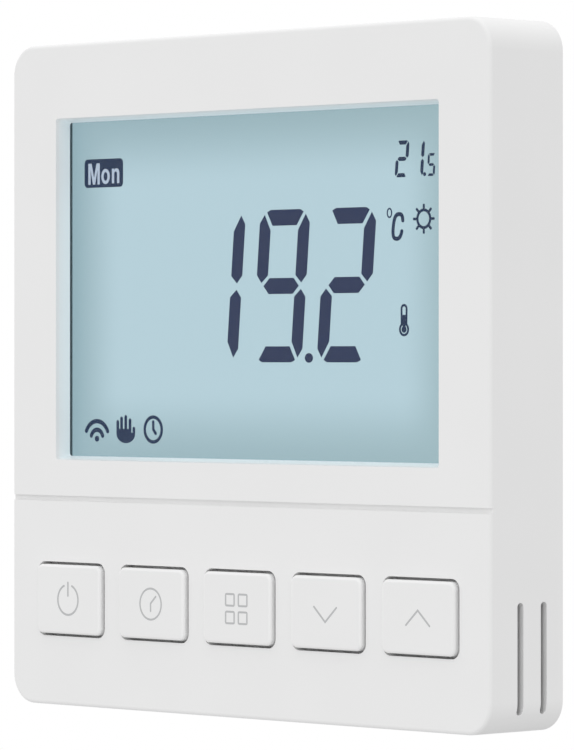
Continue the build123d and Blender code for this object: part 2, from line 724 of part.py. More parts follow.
with BuildPart() as mounting_bracket:
    with BuildSketch(facing_front(plate_y)):
        RectangleRounded(BRACKET_W, BRACKET_H, BRACKET_R)
        opening = COVER_PLATE_SIZE + 0.8
        RectangleRounded(opening, opening, COVER_PLATE_R + 0.4, mode=Mode.SUBTRACT)
        with Locations(*slot_places):
            SlotOverall(SLOT_LENGTH, 2 * SLOT_R, mode=Mode.SUBTRACT)
        with Locations(*STUD_PLACES):
            Circle(STUD_R + 0.1, mode=Mode.SUBTRACT)
    extrude(amount=BRACKET_T)
mounting_bracket.part.label = "mounting_bracket"
export_step(mounting_bracket.part, "parts/mounting_bracket.step")

with BuildPart() as power_cover:
    with BuildSketch(facing_front(plate_y)):
        RectangleRounded(COVER_PLATE_SIZE, COVER_PLATE_SIZE, COVER_PLATE_R)
    extrude(amount=BRACKET_T)
    fillet(power_cover.faces().sort_by(Axis.Y)[0].edges(), COVER_EDGE_R)
    with BuildSketch(facing_front(plate_y)):
        with Locations((0, PLUG_Z)):
            Rectangle(PIN_COLUMNS * PIN_PITCH + 0.6, PIN_ROWS * PIN_PITCH + 0.6)
        with Locations(*COVER_SCREW_PLACES):
            Circle(BOARD_SCREW_R + SCREW_CLEARANCE)
    extrude(amount=BRACKET_T, mode=Mode.SUBTRACT)
power_cover.part.label = "power_cover"
export_step(power_cover.part, "parts/power_cover.step")

with BuildPart() as power_cover_screws:
    with BuildSketch(facing_front(bracket_y)):
        with Locations(*COVER_SCREW_PLACES):
            Circle(SCREW_HEAD_R)
    extrude(amount=COVER_SCREW_HEAD_H)
    with BuildSketch(facing_front(bracket_y)):
        with Locations(*COVER_SCREW_PLACES):
            Circle(BOARD_SCREW_R)
    extrude(amount=-COVER_SCREW_LENGTH)
    with BuildSketch(facing_front(bracket_y - COVER_SCREW_HEAD_H)):
        with Locations(*COVER_SCREW_PLACES):
            Rectangle(SCREW_CROSS, SCREW_CROSS_W)
            Rectangle(SCREW_CROSS_W, SCREW_CROSS)
    extrude(amount=-0.6 * COVER_SCREW_HEAD_H, mode=Mode.SUBTRACT)
power_cover_screws.part.label = "power_cover_screws"
export_step(power_cover_screws.part, "parts/power_cover_screws.step")

# ---------------------------------------------------------------- base unit: power board and its parts

with BuildPart() as power_board:
    board_width = box_inside - 2 * FIT_GAP
    with BuildSketch(facing_front(POWER_BOARD_REAR_Y)):
        RectangleRounded(board_width, board_width, BOX_R - BOX_WALL - FIT_GAP)
        with Locations(*COVER_SCREW_PLACES):
            Circle(BOARD_SCREW_R + SCREW_CLEARANCE, mode=Mode.SUBTRACT)
    extrude(amount=POWER_BOARD_T)
power_board.part.label = "power_board"
export_step(power_board.part, "parts/power_board.step")

with BuildPart() as header_base:
    with BuildSketch(facing_front(power_board_front_y)):
        with Locations((0, PLUG_Z)):
            Rectangle(PIN_COLUMNS * PIN_PITCH, PIN_ROWS * PIN_PITCH)
            with GridLocations(PIN_PITCH, PIN_PITCH, PIN_COLUMNS, PIN_ROWS):
                Rectangle(PIN_SIZE + 2 * PIN_GAP, PIN_SIZE + 2 * PIN_GAP, mode=Mode.SUBTRACT)
    extrude(amount=HEADER_BASE_H)
header_base.part.label = "header_base"
export_step(header_base.part, "parts/header_base.step")

with BuildPart() as header_pins:
    with BuildSketch(facing_front(power_board_front_y)):
        with Locations((0, PLUG_Z)):
            with GridLocations(PIN_PITCH, PIN_PITCH, PIN_COLUMNS, PIN_ROWS):
                Rectangle(PIN_SIZE, PIN_SIZE)
    extrude(amount=power_board_front_y - board_back_y - 0.2)
header_pins.part.label = "header_pins"
export_step(header_pins.part, "parts/header_pins.step")

terminal_depth = TERMINAL_TOP - TERMINAL_BOTTOM

with BuildPart() as terminal_block:
    with BuildSketch(facing_front(POWER_BOARD_REAR_Y)):
        with Locations((0, (TERMINAL_TOP + TERMINAL_BOTTOM) / 2)):
            Rectangle(POLES * POLE_PITCH + 0.4, terminal_depth)
    extrude(amount=POWER_BOARD_REAR_Y - TERMINAL_TOP_Y)
    # wire entries from below, one to a pole
    with BuildSketch(Plane.XY.offset(TERMINAL_BOTTOM)):
        with Locations(*[(x, WIRE_Y) for x in pole_xs]):
            Rectangle(*WIRE_ENTRY)
    extrude(amount=terminal_depth - WIRE_ENTRY_FLOOR, mode=Mode.SUBTRACT)
    with BuildSketch(facing_front(TERMINAL_TOP_Y)):
        with Locations(*[(x, TERMINAL_SCREW_Z) for x in pole_xs]):
            Circle(TERMINAL_HOLE_R)
    extrude(amount=TERMINAL_TOP_Y - TERMINAL_FLOOR_Y, mode=Mode.SUBTRACT)
terminal_block.part.label = "terminal_block"
export_step(terminal_block.part, "parts/terminal_block.step")

with BuildPart() as terminal_clamps:
    clamp_w, clamp_d, clamp_h = CLAMP_SIZE
    clamp_top_y = WIRE_Y + clamp_d / 2
    with BuildSketch(Plane.XY.offset(CLAMP_BOTTOM)):
        with Locations(*[(x, WIRE_Y) for x in pole_xs]):
            Rectangle(clamp_w, clamp_d)
        with Locations(*[(x, CLAMP_HOLE_Y) for x in pole_xs]):
            Rectangle(*CLAMP_HOLE, mode=Mode.SUBTRACT)
    extrude(amount=clamp_h)
    # tapped hole for the screw
    with BuildSketch(facing_front(clamp_top_y)):
        with Locations(*[(x, TERMINAL_SCREW_Z) for x in pole_xs]):
            Circle(CLAMP_THREAD_R)
    extrude(amount=clamp_d / 2, mode=Mode.SUBTRACT)
terminal_clamps.part.label = "terminal_clamps"
export_step(terminal_clamps.part, "parts/terminal_clamps.step")

with BuildPart() as terminal_screws:
    point_y, neck_y, head_y = CLAMP_SCREW_YS
    slot_width, slot_depth = CLAMP_SCREW_SLOT
    with BuildSketch(facing_front(point_y)):
        with Locations(*[(x, TERMINAL_SCREW_Z) for x in pole_xs]):
            Circle(CLAMP_SCREW_R)
    extrude(amount=point_y - neck_y)
    with BuildSketch(facing_front(neck_y)):
        with Locations(*[(x, TERMINAL_SCREW_Z) for x in pole_xs]):
            Circle(CLAMP_SCREW_HEAD_R)
    extrude(amount=neck_y - head_y)
    with BuildSketch(facing_front(head_y)):
        with Locations(*[(x, TERMINAL_SCREW_Z) for x in pole_xs]):
            Rectangle(2 * CLAMP_SCREW_HEAD_R + 0.1, slot_width)
    extrude(amount=slot_depth, mode=Mode.SUBTRACT)
terminal_screws.part.label = "terminal_screws"
export_step(terminal_screws.part, "parts/terminal_screws.step")

with BuildPart() as transformer_bobbin:
    former_w, former_d, former_h = BOBBIN_SIZE
    with BuildSketch(facing_front(POWER_BOARD_REAR_Y)):
        with Locations((TRANSFORMER_X, TRANSFORMER_Z)):
            Rectangle(former_w, former_d)
    extrude(amount=-former_h)
transformer_bobbin.part.label = "transformer_bobbin"
export_step(transformer_bobbin.part, "parts/transformer_bobbin.step")

with BuildPart() as transformer_core:
    # two E halves: outer frame with a centre leg
    core_w, core_d, core_h = CORE_SIZE
    with BuildSketch(Plane.XY.offset(TRANSFORMER_Z - core_h / 2)):
        with Locations((TRANSFORMER_X, TRANSFORMER_Y)):
            Rectangle(core_w, core_d)
            with GridLocations(2 * CORE_WINDOW_OUT, 1.0, 2, 1):
                Rectangle(*CORE_WINDOW, mode=Mode.SUBTRACT)
    extrude(amount=core_h)
transformer_core.part.label = "transformer_core"
export_step(transformer_core.part, "parts/transformer_core.step")

with BuildPart() as transformer_winding:
    winding_w, winding_d, winding_h = WINDING_SIZE
    with BuildSketch(facing_front(WINDING_Y)):
        with Locations((TRANSFORMER_X, TRANSFORMER_Z)):
            RectangleRounded(winding_w, winding_d, 1.2)
            Rectangle(*WINDING_HOLE, mode=Mode.SUBTRACT)
    extrude(amount=-winding_h)
transformer_winding.part.label = "transformer_winding"
export_step(transformer_winding.part, "parts/transformer_winding.step")

with BuildPart() as electrolytic_capacitors:
    for can_place, can_r, can_top_y in (BIG_CAN, SMALL_CAN):
        with BuildSketch(facing_front(POWER_BOARD_REAR_Y)):
            with Locations(can_place):
                Circle(can_r)
        extrude(amount=POWER_BOARD_REAR_Y - can_top_y)
    tops = electrolytic_capacitors.faces().filter_by(Axis.Y).sort_by(Axis.Y)[-2:]
    fillet(tops.edges(), 0.6)
electrolytic_capacitors.part.label = "electrolytic_capacitors"
export_step(electrolytic_capacitors.part, "parts/electrolytic_capacitors.step")

with BuildPart() as film_capacitor:
    film_w, film_d, film_top_y = FILM_SIZE
    with BuildSketch(facing_front(POWER_BOARD_REAR_Y)):
        with Locations(FILM_PLACE):
            Rectangle(film_w, film_d)
    extrude(amount=POWER_BOARD_REAR_Y - film_top_y)
    fillet(film_capacitor.edges().filter_by(Axis.Y), 0.5)
film_capacitor.part.label = "film_capacitor"
export_step(film_capacitor.part, "parts/film_capacitor.step")

with BuildPart() as varistor:
    with BuildSketch(Plane.XY.offset(VARISTOR_BOTTOM)):
        with Locations(VARISTOR_PLACE):
            Circle(VARISTOR_R)
    extrude(amount=VARISTOR_T)
    fillet(varistor.edges(), 0.8)
    varistor_x, varistor_y = VARISTOR_PLACE
    with BuildSketch(facing_front(POWER_BOARD_REAR_Y)):
        with Locations((varistor_x, VARISTOR_BOTTOM + VARISTOR_T / 2)):
            with GridLocations(5.0, 1.0, 2, 1):
                Circle(VARISTOR_LEG_R)
    extrude(amount=POWER_BOARD_REAR_Y - varistor_y + VARISTOR_R / 4)
varistor.part.label = "varistor"
export_step(varistor.part, "parts/varistor.step")

with BuildPart() as fuse:
    fuse_w, fuse_d, fuse_top_y = FUSE_SIZE
    with BuildSketch(facing_front(POWER_BOARD_REAR_Y)):
        with Locations(FUSE_PLACE):
            RectangleRounded(fuse_w, fuse_d, 0.6)
    extrude(amount=POWER_BOARD_REAR_Y - fuse_top_y)
fuse.part.label = "fuse"
export_step(fuse.part, "parts/fuse.step")

with BuildPart() as rectifier_diodes:
    with BuildSketch(facing_front(POWER_BOARD_REAR_Y)):
        with Locations(*[(x, DIODE_Z) for x in DIODE_XS]):
            Circle(DIODE_R)
    extrude(amount=POWER_BOARD_REAR_Y - DIODE_TOP_Y)
rectifier_diodes.part.label = "rectifier_diodes"
export_step(rectifier_diodes.part, "parts/rectifier_diodes.step")

with BuildPart() as supply_chip:
    body_w, body_d, body_h = SUPPLY_CHIP_SIZE
    foot_w, foot_l, foot_h = SUPPLY_LEAD_SIZE
    with BuildSketch(facing_front(POWER_BOARD_REAR_Y + 0.1 + body_h)):
        with Locations(SUPPLY_CHIP_PLACE):
            Rectangle(body_w, body_d)
    extrude(amount=body_h)
    with BuildSketch(facing_front(POWER_BOARD_REAR_Y + foot_h)):
        with Locations(SUPPLY_CHIP_PLACE):
            with GridLocations(PIN_PITCH / 2, 5.0, 4, 2):
                Rectangle(foot_w, foot_l)
    extrude(amount=foot_h)
supply_chip.part.label = "supply_chip"
export_step(supply_chip.part, "parts/supply_chip.step")

# ---------------------------------------------------------------- base unit: relay

with BuildPart() as relay_base:
    with BuildSketch(facing_front(POWER_BOARD_REAR_Y)):
        with Locations((relay_x, RELAY_Z)):
            Rectangle(relay_length, RELAY_W)
    extrude(amount=POWER_BOARD_REAR_Y - RELAY_FLOOR_Y)
relay_base.part.label = "relay_base"
export_step(relay_base.part, "parts/relay_base.step")

with BuildPart() as relay_case:
    with BuildSketch(facing_front(RELAY_FLOOR_Y)):
        with Locations((relay_x, RELAY_Z)):
            Rectangle(relay_length, RELAY_W)
    extrude(amount=RELAY_FLOOR_Y - RELAY_TOP_Y)
    fillet(relay_case.faces().sort_by(Axis.Y)[-1].edges(), RELAY_WALL / 2)
    with BuildSketch(facing_front(RELAY_FLOOR_Y)):
        with Locations((relay_x, RELAY_Z)):
            Rectangle(relay_length - 2 * RELAY_WALL, RELAY_W - 2 * RELAY_WALL)
    extrude(amount=RELAY_FLOOR_Y - RELAY_TOP_Y + RELAY_WALL, mode=Mode.SUBTRACT)
relay_case.part.label = "relay_case"
export_step(relay_case.part, "parts/relay_case.step")

with BuildPart() as relay_bobbin:
    with BuildSketch(Plane.YZ.offset(COIL_LEFT)):
        with Locations((CORE_Y, RELAY_Z)):
            Circle(CORE_R + FORMER_WALL)
            Circle(CORE_R + BOSS_FIT, mode=Mode.SUBTRACT)
    extrude(amount=coil_length)
    for flange_x in (COIL_LEFT, COIL_RIGHT - FORMER_WALL):
        with BuildSketch(Plane.YZ.offset(flange_x)):
            with Locations((CORE_Y, RELAY_Z)):
                Rectangle(FORMER_FLANGE, FORMER_FLANGE)
                Circle(CORE_R + BOSS_FIT, mode=Mode.SUBTRACT)
        extrude(amount=FORMER_WALL)
relay_bobbin.part.label = "relay_bobbin"
export_step(relay_bobbin.part, "parts/relay_bobbin.step")

with BuildPart() as relay_winding:
    with BuildSketch(Plane.YZ.offset(COIL_LEFT + FORMER_WALL)):
        with Locations((CORE_Y, RELAY_Z)):
            Circle(COIL_R)
            Circle(CORE_R + FORMER_WALL, mode=Mode.SUBTRACT)
    extrude(amount=coil_length - 2 * FORMER_WALL)
relay_winding.part.label = "relay_winding"
export_step(relay_winding.part, "parts/relay_winding.step")

with BuildPart() as relay_yoke:
    # end leg, long leg above the coil, and the round core riveted to the end leg
    with BuildSketch(Plane.XY.offset(RELAY_Z - YOKE_H / 2)):
        with Locations((yoke_left + YOKE_T / 2, (YOKE_BOTTOM_Y + YOKE_TOP_Y) / 2)):
            Rectangle(YOKE_T, YOKE_TOP_Y - YOKE_BOTTOM_Y)
        with Locations(((yoke_left + YOKE_RIGHT) / 2, YOKE_TOP_Y - YOKE_T / 2)):
            Rectangle(YOKE_RIGHT - yoke_left, YOKE_T)
    extrude(amount=YOKE_H)
    with BuildSketch(Plane.YZ.offset(yoke_left)):
        with Locations((CORE_Y, RELAY_Z)):
            Circle(CORE_R)
    extrude(amount=POLE_X - yoke_left)
relay_yoke.part.label = "relay_yoke"
export_step(relay_yoke.part, "parts/relay_yoke.step")

with BuildPart() as relay_armature:
    # iron plate in front of the pole, and the contact blade fixed to it
    armature_t, armature_d, armature_h = ARMATURE_SIZE
    blade_t, blade_d, blade_h = BLADE_SIZE
    contact_x, contact_t = MOVING_CONTACT
    with BuildSketch(Plane.XY.offset(RELAY_Z - armature_h / 2)):
        with Locations((ARMATURE_X, ARMATURE_Y)):
            Rectangle(armature_t, armature_d)
    extrude(amount=armature_h)
    with BuildSketch(Plane.XY.offset(RELAY_Z - blade_h / 2)):
        with Locations((BLADE_X, BLADE_Y)):
            Rectangle(blade_t, blade_d)
    extrude(amount=blade_h)
    with BuildSketch(Plane.YZ.offset(contact_x)):
        with Locations((CONTACT_Y, RELAY_Z)):
            Circle(CONTACT_R)
    extrude(amount=contact_t)
relay_armature.part.label = "relay_armature"
export_step(relay_armature.part, "parts/relay_armature.step")

with BuildPart() as relay_contact:
    # fixed contact on its terminal
    fixed_t, fixed_d, fixed_h = FIXED_BLADE_SIZE
    fixed_x, button_t = FIXED_CONTACT
    with BuildSketch(Plane.XY.offset(RELAY_Z - fixed_h / 2)):
        with Locations((FIXED_BLADE_X, FIXED_BLADE_Y)):
            Rectangle(fixed_t, fixed_d)
    extrude(amount=fixed_h)
    with BuildSketch(Plane.YZ.offset(fixed_x)):
        with Locations((CONTACT_Y, RELAY_Z)):
            Circle(CONTACT_R)
    extrude(amount=button_t)
relay_contact.part.label = "relay_contact"
export_step(relay_contact.part, "parts/relay_contact.step")
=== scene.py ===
import math

import bmesh
import bpy
from mathutils import Matrix, Vector


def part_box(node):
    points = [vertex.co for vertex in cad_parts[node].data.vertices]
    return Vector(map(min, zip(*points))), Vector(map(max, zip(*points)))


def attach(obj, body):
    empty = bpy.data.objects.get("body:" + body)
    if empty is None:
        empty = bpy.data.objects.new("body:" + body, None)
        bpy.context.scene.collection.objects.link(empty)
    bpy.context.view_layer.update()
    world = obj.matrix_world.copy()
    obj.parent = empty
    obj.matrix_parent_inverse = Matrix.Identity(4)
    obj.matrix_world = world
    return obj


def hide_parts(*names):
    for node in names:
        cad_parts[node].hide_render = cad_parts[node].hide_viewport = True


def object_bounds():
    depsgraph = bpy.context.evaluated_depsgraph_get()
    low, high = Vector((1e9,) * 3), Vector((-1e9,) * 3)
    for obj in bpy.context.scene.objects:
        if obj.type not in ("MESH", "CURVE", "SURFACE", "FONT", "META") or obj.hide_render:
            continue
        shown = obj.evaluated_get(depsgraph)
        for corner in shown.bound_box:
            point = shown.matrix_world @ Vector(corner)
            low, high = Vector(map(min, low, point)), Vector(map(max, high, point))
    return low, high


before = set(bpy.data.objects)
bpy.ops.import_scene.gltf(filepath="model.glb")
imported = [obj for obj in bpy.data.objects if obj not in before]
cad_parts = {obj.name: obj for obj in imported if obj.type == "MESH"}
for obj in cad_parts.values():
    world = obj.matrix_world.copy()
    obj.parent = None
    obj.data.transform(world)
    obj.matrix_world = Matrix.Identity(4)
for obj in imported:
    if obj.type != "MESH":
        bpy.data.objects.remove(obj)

bl_info = {
    "name": "Wall thermostat",
    "version": (1, 0, 0),
    "blender": (4, 5, 0),
    "location": "View3D > Sidebar > Thermostat",
    "description": "Finishes, display marks and board detail for a square wall thermostat",
    "category": "Object",
}

# The row frame: +X is the right-hand side seen from the front, +Z is up, the front faces -Y and
# Y = 0 is the wall. Drawn sizes are in millimetres, and MM turns them to Blender's metres.
MM = 0.001
CAD_LOW, CAD_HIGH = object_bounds()
KEYS = ("power", "timer", "menu", "down", "up")


def box_mm(node):
    """Lowest and highest corner of a CAD node, in millimetres."""
    low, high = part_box(node)
    return low / MM, high / MM


def middle(node):
    """Where the middle of a CAD node is, across and up, in millimetres."""
    low, high = box_mm(node)
    return (low.x + high.x) / 2, (low.z + high.z) / 2


LENS_LOW, LENS_HIGH = box_mm("display_lens")
GLASS_FRONT = box_mm("lcd_front_glass")[0].y
BOARD_REAR = box_mm("main_board")[1].y

# The lens is held 1.8 mm behind the cover on each side, so the window is that much smaller
LENS_MARGIN = 1.8
WINDOW_HALF_W = (LENS_HIGH.x - LENS_LOW.x) / 2 - LENS_MARGIN
WINDOW_HALF_H = (LENS_HIGH.z - LENS_LOW.z) / 2 - LENS_MARGIN
WINDOW_Z = middle("display_lens")[1]
INK_T = 0.02
PRINT_T = 0.01
# Where the air slots lie in the side walls of the cover, by distance from the wall and from the centre
COVER_WALL = 1.8
SLOT_NEAR, SLOT_FAR = 2.7, 8.6
SLOT_BOTTOM, SLOT_TOP = 26.9, 40.9


# ------------------------------------------------------------------------------------ small tools


def linear(code):
    """An sRGB hex colour such as "E7E7E6" as linear red, green, blue and full alpha."""
    channels = [int(code[i:i + 2], 16) / 255 for i in (0, 2, 4)]
    return (*[c / 12.92 if c <= 0.04045 else ((c + 0.055) / 1.055) ** 2.4 for c in channels], 1.0)


def scaled(colour, share):
    """A linear colour made darker or lighter, with full alpha."""
    return (*[min(1.0, c * share) for c in colour[:3]], 1.0)


def add(tree, kind, values=None, links=None, **settings):
    """Adds a node: its own settings first, then the values of its sockets, then what feeds them.

    What feeds a socket is another socket, or a node for its first output.
    """
    made = tree.nodes.new(kind)
    for name, value in settings.items():
        setattr(made, name, value)
    for socket, value in (values or {}).items():
        made.inputs[socket].default_value = value
    for socket, source in (links or {}).items():
        out = source.outputs[0] if isinstance(source, bpy.types.Node) else source
        tree.links.new(out, made.inputs[socket])
    return made


def millimetres(tree):
    """Object coordinates in millimetres, so that a pattern's scale is one over its real size."""
    place = add(tree, "ShaderNodeTexCoord")
    links = {0: place.outputs["Object"]}
    return add(tree, "ShaderNodeVectorMath", {"Scale": 1 / MM}, links, operation="SCALE")


def start(name):
    """A new material, its empty tree, and the place on the piece in millimetres."""
    made = bpy.data.materials.new(name)
    made.use_nodes = True
    made.node_tree.nodes.clear()
    return made, made.node_tree, millimetres(made.node_tree)


def finished(made, values=None, links=None):
    """Ends a material with its shader, from the shader's own values and what feeds it."""
    shader = add(made.node_tree, "ShaderNodeBsdfPrincipled", values, links)
    add(made.node_tree, "ShaderNodeOutputMaterial", links={0: shader})
    return made


def paint(material, *nodes):
    """Gives CAD nodes a finish, in the material slots that they already have."""
    for name in nodes:
        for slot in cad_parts[name].material_slots:
            slot.material = material


def of_keys(kind):
    """The names of the five CAD nodes of one kind that belong to the keys."""
    return [f"{key}_{kind}" for key in KEYS]


def keep(name, mesh, body, material=None):
    """Makes a finished mesh a piece that moves with a body and takes its finish from a slot."""
    if material is not None:
        mesh.materials.clear()
        mesh.materials.append(material)
    mesh.name = name
    piece = bpy.data.objects.new(name, mesh)
    bpy.context.scene.collection.objects.link(piece)
    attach(piece, body)
    return piece


# -------------------------------------------------------------------------------------- materials


def moulded(name, colour, roughness=0.45, grain=0.18, relief=0.012):
    """Injection-moulded plastic with the fine even grain of a spark-eroded tool.

    The grain breaks the highlight into a soft sheen, and slow flow in the tool shifts the tone a little.
    """
    made, tree, spot = start(name)
    flow_width = 14.0
    grains = add(tree, "ShaderNodeTexNoise", {"Scale": 1 / grain, "Detail": 2.0}, {"Vector": spot})
    flow = add(tree, "ShaderNodeTexNoise", {"Scale": 1 / flow_width, "Detail": 1.0}, {"Vector": spot})
    values = {6: scaled(linear(colour), 0.965), 7: linear(colour)}
    tone = add(tree, "ShaderNodeMix", values, {0: flow}, data_type="RGBA")
    values = {"To Min": roughness - 0.05, "To Max": roughness + 0.05}
    sheen = add(tree, "ShaderNodeMapRange", values, {"Value": grains})
    bump = add(tree, "ShaderNodeBump", {"Strength": 0.35, "Distance": relief * MM}, {"Height": grains})
    return finished(made, {"IOR": 1.52}, {
        "Base Color": tone.outputs[2], "Roughness": sheen, "Normal": bump})


def from_middle(tree, value, low, high):
    """How far a coordinate is from the middle of two others, and half of the distance between them."""
    out = add(tree, "ShaderNodeMath", {1: (high + low) / 2}, {0: value}, operation="SUBTRACT")
    far = add(tree, "ShaderNodeMath", links={0: out}, operation="ABSOLUTE")
    return far, (high - low) / 2


def between(tree, value, low, high, soft):
    """1 between two coordinates, falling to 0 at them over a soft margin."""
    far, half = from_middle(tree, value, low, high)
    values = {"From Min": half, "From Max": half - soft}
    return add(tree, "ShaderNodeMapRange", values, {"Value": far}, interpolation_type="SMOOTHSTEP")


def both(tree, first, second):
    """The product of two shares."""
    return add(tree, "ShaderNodeMath", links={0: first, 1: second}, operation="MULTIPLY")


def tinted(material, low, high, tint, soft=0.3, both_sides=False):
    """Multiplies a moulding's colour by a tint between two corners, and on its other side too if asked: a
    tint below one paints shade, above one paints light.
    """
    tree = material.node_tree
    shader = next(node for node in tree.nodes if node.type == "BSDF_PRINCIPLED")
    plain = shader.inputs["Base Color"].links[0].from_socket
    place = millimetres(tree)
    if both_sides:
        place = add(tree, "ShaderNodeVectorMath", links={0: place}, operation="ABSOLUTE")
    xyz = add(tree, "ShaderNodeSeparateXYZ", links={0: place})
    x, y, z = [between(tree, xyz.outputs[i], low[i], high[i], soft) for i in range(3)]
    links = {0: both(tree, both(tree, x, y), z), 6: plain}
    changed = add(tree, "ShaderNodeMix", {7: (*tint, 1.0)}, links, data_type="RGBA", blend_type="MULTIPLY")
    tree.links.new(changed.outputs[2], shader.inputs["Base Color"])


def clear_acrylic(name, alpha, tint):
    """Polished cast acrylic: almost clear, with a faint cast of its own and a sharp reflection."""
    made, tree, spot = start(name)
    haze_width = 2.5
    haze = add(tree, "ShaderNodeTexNoise", {"Scale": 1 / haze_width, "Detail": 3.0}, {"Vector": spot})
    gloss = add(tree, "ShaderNodeMapRange", {"To Min": 0.03, "To Max": 0.05}, {"Value": haze})
    return finished(made, {"Base Color": linear(tint), "IOR": 1.49, "Alpha": alpha}, {"Roughness": gloss})


def lit_glass(name, display):
    """Display glass under its polariser, lit from behind by a light guide.

    The light is even in the middle and darker towards the frame, most at the far left: painted shade of the
    window frame on the glass.
    """
    made, tree, spot = start(name)
    xyz = add(tree, "ShaderNodeSeparateXYZ", links={0: spot})
    x = between(tree, xyz.outputs[0], -WINDOW_HALF_W, WINDOW_HALF_W, display.fade)
    z = between(tree, xyz.outputs[2], WINDOW_Z - WINDOW_HALF_H, WINDOW_Z + WINDOW_HALF_H, display.fade)
    values = {"From Min": -WINDOW_HALF_W, "From Max": WINDOW_HALF_W}
    across = add(tree, "ShaderNodeMapRange", values, {"Value": xyz.outputs[0]})
    # painted shade: the glass is darker towards the frame, and darker at the left edge than at the right
    values = {6: (*display.left_edge_shade, 1.0), 7: (*display.right_edge_shade, 1.0)}
    edge = add(tree, "ShaderNodeMix", values, {0: across}, data_type="RGBA")
    links = {0: both(tree, x, z), 6: edge.outputs[2]}
    light = add(tree, "ShaderNodeMix", {7: (*display.lit, 1.0)}, links, data_type="RGBA")
    mottle_width = 6.0
    mottle = add(tree, "ShaderNodeTexNoise", {"Scale": 1 / mottle_width, "Detail": 1.0}, {"Vector": spot})
    satin = add(tree, "ShaderNodeMapRange", {"To Min": 0.24, "To Max": 0.28}, {"Value": mottle})
    values = {"Base Color": linear("4F5B60"), "Emission Strength": display.brightness}
    return finished(made, values, {"Emission Color": light.outputs[2], "Roughness": satin})


def printed(name, colour, roughness=0.5, glow=0.0):
    """Screen-printed or polarised ink: an even film of slightly uneven density, which may be lit through."""
    made, tree, spot = start(name)
    full = scaled(colour, 1.0)
    film_width = 0.6
    film = add(tree, "ShaderNodeTexNoise", {"Scale": 1 / film_width, "Detail": 2.0}, {"Vector": spot})
    tone = add(tree, "ShaderNodeMix", {6: full, 7: scaled(colour, 1.06)}, {0: film}, data_type="RGBA")
    values = {"Roughness": roughness, "Emission Color": full, "Emission Strength": glow}
    return finished(made, values, {"Base Color": tone.outputs[2]})


def plated(name, colour, roughness=0.3, grain=(1.2, 1.2, 1.2)):
    """Plated or rolled metal: one tone with a slightly uneven polish, and fine lines along the rolling.

    grain is how far the pattern is drawn out along each axis, in millimetres.
    """
    made, tree, spot = start(name)
    uneven = 0.07
    scale = add(tree, "ShaderNodeMapping", {"Scale": tuple(1 / g for g in grain)}, {"Vector": spot})
    values = {"Scale": 1.0, "Detail": 4.0, "Roughness": 0.6}
    lines = add(tree, "ShaderNodeTexNoise", values, {"Vector": scale})
    values = {6: scaled(linear(colour), 0.86), 7: linear(colour)}
    tone = add(tree, "ShaderNodeMix", values, {0: lines}, data_type="RGBA")
    values = {"To Min": roughness - uneven, "To Max": roughness + uneven}
    polish = add(tree, "ShaderNodeMapRange", values, {"Value": lines})
    bump = add(tree, "ShaderNodeBump", {"Strength": 0.2, "Distance": 0.01 * MM}, {"Height": lines})
    return finished(made, {"Metallic": 1.0}, {
        "Base Color": tone.outputs[2], "Roughness": polish, "Normal": bump})


def galvanised(name):
    """Hot-dip galvanised sheet: zinc crystals a few millimetres across, each with its own grey and polish."""
    made, tree, spot = start(name)
    crystal = 4.5
    crystals = add(tree, "ShaderNodeTexVoronoi", {"Scale": 1 / crystal, "Randomness": 1.0}, {"Vector": spot})
    shade = add(tree, "ShaderNodeSeparateColor", links={0: crystals.outputs["Color"]})
    values = {6: linear("9FA3A6"), 7: linear("C6C9CB")}
    tone = add(tree, "ShaderNodeMix", values, {0: shade.outputs[0]}, data_type="RGBA")
    polish = add(tree, "ShaderNodeMapRange", {"To Min": 0.32, "To Max": 0.5}, {"Value": shade.outputs[1]})
    return finished(made, {"Metallic": 1.0}, {"Base Color": tone.outputs[2], "Roughness": polish})


def circuit_board(name, mask):
    """Glass-fibre laminate under solder resist: copper tracks show as slightly lighter raised lines.

    The board is divided into patches, and each carries tracks one way, the other way or a plain pour.
    """
    made, tree, spot = start(name)
    patch_width = 5.0
    upright_share, track_share = 0.42, 0.78
    patch = add(tree, "ShaderNodeVectorMath", {1: (patch_width,) * 3}, {0: spot}, operation="SNAP")
    choice = add(tree, "ShaderNodeTexWhiteNoise", links={"Vector": patch})
    tracks = []
    for direction in ("X", "Z"):
        wave = add(tree, "ShaderNodeTexWave", {"Scale": 0.42}, {"Vector": spot}, bands_direction=direction)
        values = {"From Min": 0.5, "From Max": 0.6}
        sharp = add(tree, "ShaderNodeMapRange", values, {"Value": wave.outputs[1]})
        tracks.append(sharp)
    turn = add(tree, "ShaderNodeMath", {1: upright_share}, {0: choice}, operation="GREATER_THAN")
    laid = add(tree, "ShaderNodeMix", links={0: turn, 2: tracks[0], 3: tracks[1]}, data_type="FLOAT")
    pour = add(tree, "ShaderNodeMath", {1: track_share}, {0: choice}, operation="GREATER_THAN")
    copper = add(tree, "ShaderNodeMath", links={0: laid, 1: pour}, operation="MAXIMUM")
    lighter = (*[c * 1.9 + 0.004 for c in linear(mask)[:3]], 1.0)
    tone = add(tree, "ShaderNodeMix", {6: linear(mask), 7: lighter}, {0: copper}, data_type="RGBA")
    bump = add(tree, "ShaderNodeBump", {"Strength": 0.5, "Distance": 0.035 * MM}, {"Height": copper})
    values = {"Roughness": 0.32, "Coat Weight": 0.25}
    return finished(made, values, {"Base Color": tone.outputs[2], "Normal": bump})


